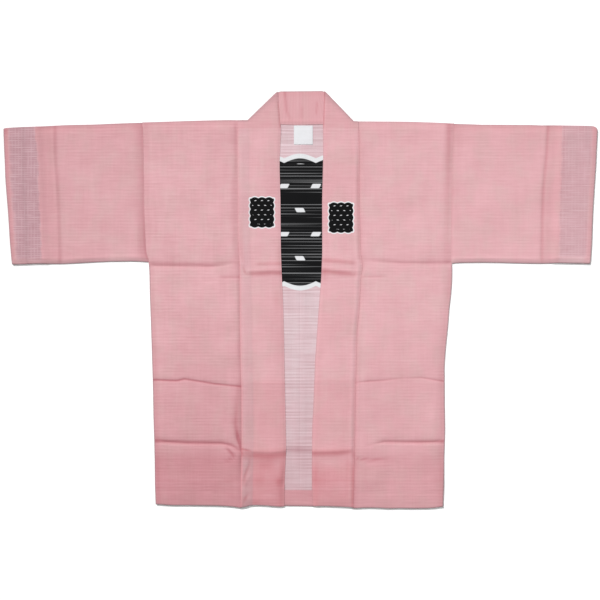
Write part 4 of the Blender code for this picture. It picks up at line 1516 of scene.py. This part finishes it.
@dataclass
class CollarBand:
    """The collar: one doubled band up the right front, round the neck and down the left front."""

    face: bpy.types.Material
    row_step: float = 4.2
    lift: float = 1.3  # the air under its free side
    allowance: tuple[float, float] = (23.0, 11.0)  # the seam allowance that shows, right and left
    to_fold: int = 15  # the rows from the top of a lapel to its fold
    corner_reach: float = 94.5  # where its lower layer meets the neck seam
    bends: tuple[float, ...] = (0.0, 0.16, 0.55, 1.0)  # the shares across it where its fold's line bends
    free_ends: tuple[float, float] = (-41.0, 46.5)  # of its free edge behind the neck, as x
    # patches of painted shade, and of painted light where the amount is below zero: x, drop, half width, half
    # height and how much
    patches: tuple[tuple[float, float, float, float, float], ...] = (
        (-70, 668, 16, 10, 0.14), (-44, 672, 7, 16, -0.16), (-42, 703, 5, 8, 0.22), (-58, 729, 15, 5, -0.14),
        (-80, 700, 10, 14, 0.10), (-62, 696, 8, 12, -0.08), (-86, 742, 8, 6, 0.14), (-106, 704, 5, 8, 0.20),
        (-108, 735, 6, 5, 0.22), (-104, 668, 5, 8, -0.20), (-100, 600, 8, 14, 0.08), (-60, 560, 14, 30, 0.06),
        (60, 668, 18, 8, -0.08), (40, 700, 10, 12, 0.08), (82, 712, 10, 14, -0.10), (96, 672, 6, 14, 0.14),
        (52, 738, 14, 6, -0.08), (30, 690, 5, 20, 0.08), (-42, 262, 5, 26, 0.16), (-50, 120, 6, 30, 0.06),
        (-74, 232, 16, 14, -0.05), (-46, 345, 6, 20, 0.16), (48, 300, 6, 14, 0.18), (92, 250, 9, 12, 0.06),
    )
    shares: Array = field(default_factory=lambda: CollarBand.across())

    @staticmethod
    def across() -> Array:
        """The shares from the seam to the free edge."""
        close = [(0.0, 8.0, 1.2), (BAND_WIDTH, 6.0, 1.2), (18.0, 9.0, 1.8)]
        return spaced(0, BAND_WIDTH, 3, close) / BAND_WIDTH

    def lapel(self, cut: HalfCut) -> tuple[Array, Array, Array, Array]:
        """The part up one front, from its hem to near the shoulder.

        Args:
            cut: the half of the coat that it belongs to.

        Returns:
            Its x, drop and z by row and column, and its levels.
        """
        lie = LAPEL_LIE[cut.side]
        sign = cut.side.value
        close = [(286, 24, 1.7), (512, 10, 2.0), (648, 24, 1.5), (705, 34, 2.1), (HEM_DROP, 8, 2.0)]
        level = spaced(HEM_DROP, 14, self.row_step, close)[:, None]
        share = self.shares[None, :]
        drop = level + (reading(cut.lapel_hem, share, 0.03) - HEM_DROP) * near_hem(level)
        seam, free = reading(cut.collar_seam, drop), reading(cut.lapel_edge, drop)
        reach = blend(seam, free, share)
        x = sign * reach
        from_seam, from_free = seam - reach, reach - free
        stepped = over_shoulder(level)
        z = blend(blend(BAND_ON_BACK_Z, BAND_OVER_HEM_Z, over_hems(level)), BAND_OVER_BAND_Z, stepped)
        window = rises(level, 40, 16) * ends(level, 14, HEM_DROP)
        air = self.lift * blend(0.1, 1, rises(from_free, 30))
        ridge = 0.5 * falls(from_seam - cut.side.pick(*self.allowance), 3, -2)
        pucker = 0.10 * np.sin(drop * 2 * math.pi / 15 + np.sin(drop / 27) * 2) * bell(from_seam, 8, 5)
        rise = lie.rise(x, drop) + lie.unevenness(x, drop) * rises(from_free, 20)
        lifted_by = np.maximum(air + rise + ridge + pucker, -0.3) * window
        # the free edge lies down on the back, and on its turned-up hem
        resting = blend(BAND_ON_BACK_Z - 0.75, BAND_OVER_HEM_Z - 1.15, rises(level, 14, 704))
        resting = blend(resting, BAND_OVER_BAND_Z - 1.1, stepped)
        resting = resting + 0.85 * np.maximum(rise, 0) * window
        loose = blend(resting, z + lifted_by, rises(from_free, blend(6, 11, over_hems(level))))
        sewn = blend(seam_height(cut, drop) + 0.75, BAND_OVER_BAND_Z, stepped)
        return x, drop, blend(sewn, loose, rises(from_seam, 9)), level

    def row(self, marks: Sequence[float], places: Sequence[Sequence[float]], z: float) -> Array:
        """A level row across the band.

        Args:
            marks: the shares across it at which its places are known.
            places: the x and drop at each.
            z: its height.

        Returns:
            Its x, drop and z by column.
        """
        known = np.array([tuple(place) for place in places])
        across = [np.interp(self.shares, marks, known[:, axis]) for axis in (0, 1)]
        return np.stack([*across, np.full(len(self.shares), z)], axis=-1)

    def fold_row(self, cut: HalfCut, out: float, z: float) -> Array:
        """A row along the band's fold: over the shoulder, then on a slant up beside the neck.

        Args:
            cut: the half of the coat that it belongs to.
            out: how far the row lies outside the fold's line.
            z: its height.

        Returns:
            Its x, drop and z by column.
        """
        sign = cut.side.value
        low, high = Vector(cut.fold_low), Vector(cut.fold_high)
        along = (high - low).normalized()
        off_slant = Vector((-along.y, along.x)) * sign
        off_shoulder = Vector((0.0, -1.0))
        off_bend = (off_slant + off_shoulder) / (1 + off_slant.dot(off_shoulder))
        seam = sign * float(reading(cut.collar_seam, np.array(0.0)))
        places = (Vector((seam, low.y)), low, low.lerp(high, 0.46), high)
        ways = (off_shoulder, off_bend, off_slant, off_slant)
        return self.row(self.bends, [place + way * out for place, way in zip(places, ways, strict=True)], z)

    @staticmethod
    def neck_seam_drop(x: float) -> float:
        """How far down the band's seam edge lies at the back of the neck.

        Args:
            x: the place along it.

        Returns:
            Its drop.
        """
        cut = RIGHT if x < 0 else LEFT
        fall = float(cut.fall(np.array(1.0))) * float(falls(NECK_DROP, 40))
        sag = 2.6 + 1.3 * float(bell(x, 18, -22))
        return NECK_DROP + sag + fall * abs(x) / cut.collar_seam[0][1]

    def around_fold(self, cut: HalfCut, last_row: Array) -> list[Array]:
        """The rows from the top of the lapel round its fold to its lower layer.

        Args:
            cut: the half of the coat that it belongs to.
            last_row: the lapel's highest row.

        Returns:
            The rows, of which the last is the fold's on the lower layer.
        """
        upper = self.fold_row(cut, -BAND_INSET, BAND_OVER_BAND_Z)
        # the free edge stays down on the stretch behind the neck until close to the fold
        sunk = np.zeros(upper.shape)
        sunk[:, 2] = -1.1 * falls((1 - self.shares) * BAND_WIDTH, 6)
        rows = []
        for share in np.linspace(0, 1, self.to_fold + 1)[1:]:
            rows.append(blend(last_row, upper, share) + sunk * share * float(falls(share, 0.25, 0.75)))
        middle = (BAND_OVER_BAND_Z + BAND_ON_TABLE_Z) / 2
        for angle in turn(0, 180, 8):
            out = BAND_RADIUS * math.sin(angle) - BAND_INSET
            rows.append(self.fold_row(cut, out, middle + BAND_RADIUS * math.cos(angle)))
        return [*rows, self.fold_row(cut, -BAND_INSET, BAND_ON_TABLE_Z)]

    def corner(self, cut: HalfCut, fold: Array, neck_row: Array) -> Array:
        """The row of the lower layer in the corner between its fold and the neck seam.

        Args:
            cut: the half of the coat that it belongs to.
            fold: the fold's row on the lower layer.
            neck_row: the nearest row behind the neck.

        Returns:
            Its x, drop and z by column.
        """
        row = blend(fold, neck_row, 0.35)
        seam_x = cut.side.value * self.corner_reach
        drop = self.neck_seam_drop(seam_x)
        marks = self.bends[:3]
        x, down = (float(np.interp(marks[2], self.shares, row[:, axis])) for axis in (0, 1))
        for axis, known in enumerate(((seam_x, seam_x, x), (drop, drop - 0.8, down))):
            line = np.interp(self.shares, marks, known)
            row[:, axis] = np.where(self.shares < marks[2], line, row[:, axis])
        return row

    def neck_rows(self) -> list[Array]:
        """The key rows along the back of the neck, from right to left.

        Returns:
            The rows.
        """
        right_top, left_top = RIGHT.fold_high[1], LEFT.fold_high[1]
        rows = []
        leans = ((0.04, 26.0), (0.16, 10.0), (0.36, 0.0), (0.64, 0.0), (0.84, -10.0), (0.96, -26.0))
        for share, lean in leans:
            free_x = blend(*self.free_ends, share)
            seam_x = free_x - lean
            edges = ((seam_x, self.neck_seam_drop(seam_x)), (free_x, blend(right_top, left_top, share)))
            rows.append(self.row((0, 1), edges, BAND_ON_TABLE_Z))
        return rows

    def build(self) -> bpy.types.Object:
        """Makes the band.

        Returns:
            Its finished object.
        """
        neck = self.neck_rows()
        halves, levels = [], []
        for cut, near in ((RIGHT, neck[0]), (LEFT, neck[-1])):
            x, drop, z, level = self.lapel(cut)
            lapel = list(np.stack([x, drop, z], axis=-1))
            round_fold = self.around_fold(cut, lapel[-1])
            key = [round_fold[-1], self.corner(cut, round_fold[-1], near), near]
            under = [blend(a, b, t) for a, b in zip(key, key[1:]) for t in np.linspace(0, 1, 7)[1:]]
            halves.append(np.array(lapel + round_fold + under[:-1]))
            levels.append(level[:, 0])
        across_neck = [neck[0]]
        for first, second in zip(neck, neck[1:]):
            steps = max(2, int(abs(second[len(second) // 2, 0] - first[len(first) // 2, 0]) / 3))
            across_neck += [blend(first, second, t) for t in np.linspace(0, 1, steps + 1)[1:]]
        points = np.concatenate([halves[0], np.array(across_neck), halves[1][::-1]])
        x, drop, z = points[..., 0], points[..., 1], points[..., 2]
        z = z + self.neck_relief(x, drop, len(halves[0]), len(across_neck))
        along = distance_along(x, drop, z)
        rows = np.arange(len(points))[:, None]
        right_half = rows < len(halves[0]) + len(across_neck) // 2
        v = HEM_DROP - np.where(right_half, along[:, None], along[-1] - along[:, None]) + 0 * x
        upper = [len(level) + self.to_fold for level in levels]
        v[: upper[0]], v[-upper[1] :] = drop[: upper[0]], drop[-upper[1] :]
        centre, down = (np.where(right_half, *pair) for pair in zip(MARKS[Side.RIGHT], MARKS[Side.LEFT]))
        from_seam = self.shares[None, :] * BAND_WIDTH + 0 * x
        from_left = len(points) - 1 - rows
        at = BandPoints(
            x, drop, from_seam, right_half, np.minimum(rows, from_left), rows - len(levels[0]),
            from_left - len(levels[1]),
        )
        behind_neck = rises(at.past_right, 8, self.to_fold) * rises(at.past_left, 8, self.to_fold - 1)
        grid = ClothGrid(
            name="collar_cloth", x=x, drop=drop, z=z, taper=self.taper(),
            calm=0.15 + 0.4 * behind_neck + 0 * x,
            cloth=(np.where(right_half, x, x + 7), v), motif=(x - centre, v - down),
            tone=self.lights_and_shades(at), shade_and_wear=self.shades_and_wears(at),
        )
        return grid.build(BAND_WALL, (self.face,), rounding=0.45)

    @staticmethod
    def neck_relief(x: Array, drop: Array, before: int, count: int) -> Array:
        """The folds of the stretch behind the neck, which lies on the surface below.

        Args:
            x: the points' x.
            drop: the points' drop.
            before: the rows before the stretch.
            count: the rows in it.

        Returns:
            How far each point is lifted.
        """
        rows = np.arange(x.shape[0])[:, None]
        inside = rises(rows - before, 4, -1) * rises(before + count - rows, 4)
        rise = np.maximum(NECK_LIE.rise(x, drop) + NECK_LIE.unevenness(x, drop), 0)
        over_back = 0.6 * rises(drop, 6, -5.5)
        over_back = over_back * rises(rows - before, 4, -9) * rises(before + count + 8 - rows, 4)
        return rise * inside * ends(drop, 10, 6) + over_back

    def taper(self) -> Array:
        """The share of the band's wall at each column, which is pressed thin along both edges."""
        in_from_edge = np.minimum(self.shares, 1 - self.shares) * BAND_WIDTH
        return 0.42 + 0.58 * rises(in_from_edge, 7)

    def shades_and_wears(self, at: BandPoints) -> Array:
        """The dark rim painted on the band as shade and wear: most along the folds beside the neck and at the
        hems.

        Args:
            at: the points.

        Returns:
            The share of painted shade and wear at each point.
        """
        from_seam, from_free = at.from_seam, BAND_WIDTH - at.from_seam
        fold, width = self.to_fold + 3, 4.6
        folds = bell(at.past_right, width, fold) + bell(at.past_left, width, fold)
        top = bell(from_free, 2) * rises(at.past_right, 4, fold + 2) * rises(at.past_left, 4, fold + 1)
        strip = falls(from_seam, 3, 21) * rises(from_seam, 3, 1) * (at.past_right < 0)
        strip = strip * (1 + 0.9 * rises(at.drop, 40, 480) + 1.2 * rises(at.drop, 20, 650))
        edge = bell(from_free, 1.8) * (at.past_left < 0)
        shaded_and_worn = 0.7 * bell(at.from_hem, 1) + 0.8 * folds + 0.65 * top + 0.105 * strip + 0.25 * edge
        return np.clip(shaded_and_worn, 0, 1)

    def lights_and_shades(self, at: BandPoints) -> Array:
        """The light and shade painted into the band's colour.

        Args:
            at: the points.

        Returns:
            How much shade is painted at each point, from -1 for painted light to 1 for painted shade.
        """
        x, drop, from_seam, right_half = at.x, at.drop, at.from_seam, at.right_half
        past_fold = self.to_fold + 7
        lapel = (at.past_right < 0) | (at.past_left < 0)
        lower = (at.past_right > past_fold) & (at.past_left >= past_fold)
        left_half, from_free = ~right_half, BAND_WIDTH - from_seam
        folds = np.where(right_half, *(LAPEL_LIE[side].depth(x, drop) for side in (Side.RIGHT, Side.LEFT)))
        lit_share = falls(from_seam - np.where(right_half, *self.allowance), 3, -2) * rises(from_seam, 4, 2)
        below = rises(drop, np.where(right_half, 26, 42), 648)
        seam_line = 0.2 * bell(from_seam, 4, 5) * rises(drop, 60, 60) * ends(drop, 12, 276)
        seam_line = 0.16 * bell(from_seam, 3) + left_half * seam_line
        seam_line = seam_line + np.where(right_half, -0.08, 0.15) * bell(from_seam, 4, 3) * below
        free_edge = (0.04 + 0.10 * below) * bell(from_free, 6, 7)
        low_end = 0.05 * rises(drop, 60, 300) + np.where(right_half, 0.28, 0.29) * below
        low_end = low_end + np.where(right_half, 0.20, 0.15) * rises(drop, 40, 488)
        low_end = low_end + left_half * 0.08 * bell(drop, 60, 110)
        pressed = right_half * rises(drop, 60, 150) * ends(drop, 20, 285)
        low_end = low_end + pressed * (0.18 * bell(from_seam, 3.5, 6.5) - 0.12 * bell(from_seam, 4, 13.5))
        hem_line = 0.10 * bell(drop, 1.8, 699.5) - 0.08 * bell(drop, 1.8, 716)
        # painted shadow along the free edge
        edge_line = np.where(right_half, 0.42 * rises(drop, 14, -46), 0.5) * bell(from_free, 2, 1)
        edge_line = edge_line * falls(drop, 12, 6)
        strip_low = -0.08 * falls(from_seam, 3, 21) * (below + rises(drop, 40, 480)) * right_half
        lapel_light_and_shade = folds - 0.10 * lit_share + seam_line + free_edge + low_end + hem_line + edge_line + strip_low
        for px, pd, wide, tall, more in self.patches:
            lapel_light_and_shade = lapel_light_and_shade + more * bell(x, wide, px) * bell(drop, tall, pd)
        neck_light_and_shade = 0.16 + 0.12 * bell(drop, 6, -56)
        behind_neck = NECK_LIE.depth(x, drop) + 0.10 * bell(drop, 2.4, -0.5)
        return np.where(lapel, lapel_light_and_shade, neck_light_and_shade + np.where(lower, behind_neck, edge_line))


MOTIF_DROP = 196.0  # the middle of the panel printed on the back
MARKS: Mapping[Side, tuple[float, float]] = {Side.RIGHT: (-74.3, 177.3), Side.LEFT: (80.0, 187.5)}


# ---- The label ----


@dataclass
class NeckLabel:
    """A small blank label of white tape, sewn down inside the back of the neck."""

    tape: bpy.types.Material
    thread: bpy.types.Material
    x: tuple[float, float] = (-12.0, 25.0)
    drop: tuple[float, float] = (7.6, 44.6)
    z: float = 1.55
    wall: float = 0.45
    stitches_a_side: int = 11
    stitch: tuple[float, float, float] = (2.1, 0.42, 0.3)  # length, width and height
    seam_inset: float = 2.0
    points: int = 33  # along each side of its grid

    def inward(self, x: Array, drop: Array) -> Array:
        """How far each place lies in from the label's edge."""
        return np.minimum.reduce([x - self.x[0], self.x[1] - x, drop - self.drop[0], self.drop[1] - drop])

    def surface(self, x: Array, drop: Array) -> Array:
        """The height of the label's middle, held down at its edges.

        Args:
            x: the places' x.
            drop: the places' drop.

        Returns:
            The heights.
        """
        near = self.inward(x, drop)
        puff = 0.28 * rises(near, 9) + 0.07 * np.sin(x / 5 + drop / 7) * rises(near, 6)
        return self.z + puff

    def build(self) -> bpy.types.Object:
        """Makes the label.

        Returns:
            Its finished object.
        """
        along, down = np.meshgrid(np.linspace(*self.x, self.points), np.linspace(*self.drop, self.points))
        far = np.full(along.shape, OFF_PRINT)
        grid = ClothGrid(
            name="neck_label_tape", x=along, drop=down, z=self.surface(along, down),
            cloth=(along, down), motif=(far, far), tone=0 * along,
            # a dark rim painted along its edges as shade and wear
            shade_and_wear=0.25 * falls(self.inward(along, down), 1.2),
        )
        return grid.build(self.wall, (self.tape,), rounding=0.12)

    def sew(self) -> bpy.types.Object:
        """Makes the row of stitches round the label.

        Returns:
            Its finished object.
        """
        length, width, height = self.stitch
        spans = [(low + self.seam_inset, high - self.seam_inset) for low, high in (self.x, self.drop)]
        stitches = bmesh.new()
        for turned, end, step in itertools.product((False, True), (0, 1), range(self.stitches_a_side)):
            fixed = spans[not turned][end]
            place = blend(*spans[turned], (step + 0.5) / self.stitches_a_side)
            x, drop = (fixed, place) if turned else (place, fixed)
            z = float(self.surface(np.array(x), np.array(drop))) + self.wall / 2 + 0.02
            made = bmesh.ops.create_icosphere(stitches, subdivisions=1, radius=0.5)["verts"]
            size = (width, length, height) if turned else (length, width, height)
            bmesh.ops.scale(stitches, verts=made, vec=Vector(size) * MM)
            bmesh.ops.translate(stitches, verts=made, vec=Vector((x, SHOULDER_Y - drop, z)) * MM)
        mesh = meshed("label_stitching", stitches)
        mesh.shade_smooth()
        mesh.materials.append(self.thread)
        return placed("label_stitching", mesh)


# ---- The studio ----


@dataclass
class Studio:
    """A white surface, soft light from above and the far left, and the camera looking straight down."""

    frame_width: float = 1170.6  # of the surface that the square picture takes in
    mid_height: float = 3.0  # of the cloth, where the frame's width is measured
    aim_y: float = -0.49
    lens: float = 85.0
    sensor: float = 36.0
    floor: str = "f4f4f4"
    # from here on places and sizes are in metres, and the softbox's strength is in watts
    floor_reach: float = 30.0
    room_strength: float = 0.24
    key_strength: float = 3.3
    key_angle: float = math.radians(10)
    key_place: tuple[float, float, float] = (-1.6, 2.6, 3.0)
    box_strength: float = 19.5
    box_side: float = 1.6
    box_place: tuple[float, float, float] = (0.32, 0.2, 2.3)
    box_aim: tuple[float, float, float] = (0.1, -0.05, 0.0)

    def build(self) -> None:
        """Makes the surface, the lights and the camera."""
        self.make_floor()
        self.make_lights()
        self.make_camera()

    def make_floor(self) -> None:
        """A wide plain surface under the coat."""
        plane = bmesh.new()
        bmesh.ops.create_grid(plane, x_segments=1, y_segments=1, size=self.floor_reach)
        # painted board: even, pale and without gloss
        material, shader = plain_material("Matt white board")
        feed(shader, {"Base Color": linear(self.floor), "Roughness": 0.9, "Specular IOR Level": 0.1})
        floor = placed("floor", meshed("floor", plane))
        floor.data.materials.append(material)
        floor.location.z = -0.2 * MM

    def make_lights(self) -> None:
        """A pale room, a broad soft key from the top left, and a softbox that favours the top right."""
        world = bpy.data.worlds.new("Pale room")
        world.use_nodes = True
        feed(world.node_tree.nodes["Background"], ((1.0, 1.0, 1.0, 1.0), self.room_strength))
        bpy.context.scene.world = world
        key = bpy.data.lights.new("Key", "SUN")
        key.energy, key.angle = self.key_strength, self.key_angle
        box = bpy.data.lights.new("Softbox", "AREA")
        box.energy, box.shape, box.size = self.box_strength, "SQUARE", self.box_side
        middle = (0.0, 0.0, 0.0)
        for light, place, aim in ((key, self.key_place, middle), (box, self.box_place, self.box_aim)):
            lamp = placed(light.name, light)
            lamp.location = place
            lamp.rotation_euler = (Vector(aim) - Vector(place)).to_track_quat("-Z", "Y").to_euler()

    def make_camera(self) -> None:
        """The camera, straight above the coat with the neck at the top."""
        data = bpy.data.cameras.new("Camera")
        data.lens, data.sensor_width = self.lens, self.sensor
        camera = placed("Camera", data)
        above = self.frame_width / self.sensor * self.lens
        camera.location = Vector((0.0, self.aim_y, above + self.mid_height)) * MM
        bpy.context.scene.camera = camera
        bpy.context.scene.view_settings.view_transform = "Standard"


# ---- The coat ----

BACK_PANEL = ScallopedPrint(
    half_width=108.0, half_height=115.5, lobe=9.0, lobe_pitch=(49.0, 62.0), corner=16.0, border=9.0,
    lattice=(62.0, 47.0), fleck=(8.5, 4.2), slant=0.5, margin=10.0,
)
LAPEL_MARK = ScallopedPrint(
    half_width=22.0, half_height=27.6, lobe=2.2, lobe_pitch=(13.0, 14.0), corner=9.0, border=1.9,
    lattice=(12.6, 9.2), fleck=(1.4, 0.6), slant=-1.1, margin=5.0,
)
# dyed and ribbed: matt, its slubs light where the dye took least; light and shade are painted in,
# and its folded edges get a dark rim of painted shade and wear
BODY_FACE = RibbedCotton("Ribbed printed cotton", weave=1.25, print=BACK_PANEL)
# the same cloth from inside: paler, its long slubs plain to see, the print struck through between its ribs
BODY_REVERSE = RibbedCotton(
    "Reverse of ribbed printed cotton", weave=3.0, ground="c6abb0", shade_colour="ae878d", pale_and_lit="d0bfc3",
    grey="c2afb2", shaded_and_worn="8f7b7e", slub_length=120.0, print=BACK_PANEL, struck_through=0.22, upright=0.3,
    white="cfd0d2", ink="0a0a0c",
)
# unprinted, and woven at its end in an uneven check that looks grey and a little blurred
SLEEVE_FACE = RibbedCotton("Ribbed cotton with a woven check", weave=1.08, check="ae878e")
# the sleeves' cloth from inside: paler and quieter
SLEEVE_REVERSE = RibbedCotton(
    "Reverse of ribbed cotton", weave=1.9, ground="c9aeb3", shade_colour="ae878d", pale_and_lit="d0bfc3", grey="c4b2b4",
    shaded_and_worn="8f7b7e",
)
# doubled over and pressed, its painted shade a fuller red, with a solid black mark on each lapel
BAND_FACE = RibbedCotton(
    "Doubled ribbed cotton with printed marks", weave=1.15, shade_colour="b1696f", print=LAPEL_MARK, ink="070708"
)
# smooth tight tape: white, flat and a little brighter than the cloth round it
LABEL_TAPE = RibbedCotton(
    "Woven label tape", weave=0.3, ground="d2d2d5", shade_colour="c0c0c5", pale_and_lit="dadade", grey="cfcfd1",
    shaded_and_worn="a0a0a4", bump=0.15, roughness=0.7,
)
# spun thread in small raised stitches that shade the tape beside them
LABEL_THREAD = RibbedCotton(
    "White sewing thread", weave=0.3, ground="d4d4d8", shade_colour="c8c8cd", pale_and_lit="e4e4e8", grey="d0d0d4",
    shaded_and_worn="a0a0a4", bump=0.1, roughness=0.6,
)


def dress(piece: bpy.types.Object, node_name: str | None = None) -> None:
    """Rides a piece on the coat's one body, and hides the CAD piece that it stands for, if any.

    Args:
        piece: the finished piece.
        node_name: the CAD piece that it stands for, if any.
    """
    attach(piece, "root")
    if node_name is not None:
        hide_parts(node_name)
    LOG.info("%s: %d faces", piece.name, len(piece.data.polygons))


def main() -> None:
    """Builds the studio and the coat."""
    logging.basicConfig(level=logging.INFO, format="%(name)s: %(message)s")
    Studio().build()
    body_face, body_reverse = BODY_FACE.build(), BODY_REVERSE.build()
    sleeve_face, sleeve_reverse = SLEEVE_FACE.build(), SLEEVE_REVERSE.build()
    for cut in HALVES:
        side = cut.side.name.lower()
        body = BodyLength(cut, body_face, body_reverse).build()
        dress(body, f"body_{side}")
        sleeve = Sleeve(cut, sleeve_face, sleeve_reverse).build()
        dress(sleeve, f"sleeve_{side}")
    band = CollarBand(BAND_FACE.build()).build()
    dress(band, "collar")
    label = NeckLabel(LABEL_TAPE.build(), LABEL_THREAD.build())
    tape = label.build()
    dress(tape, "neck_label")
    stitching = label.sew()
    dress(stitching)


if __name__ == "__main__":
    main()
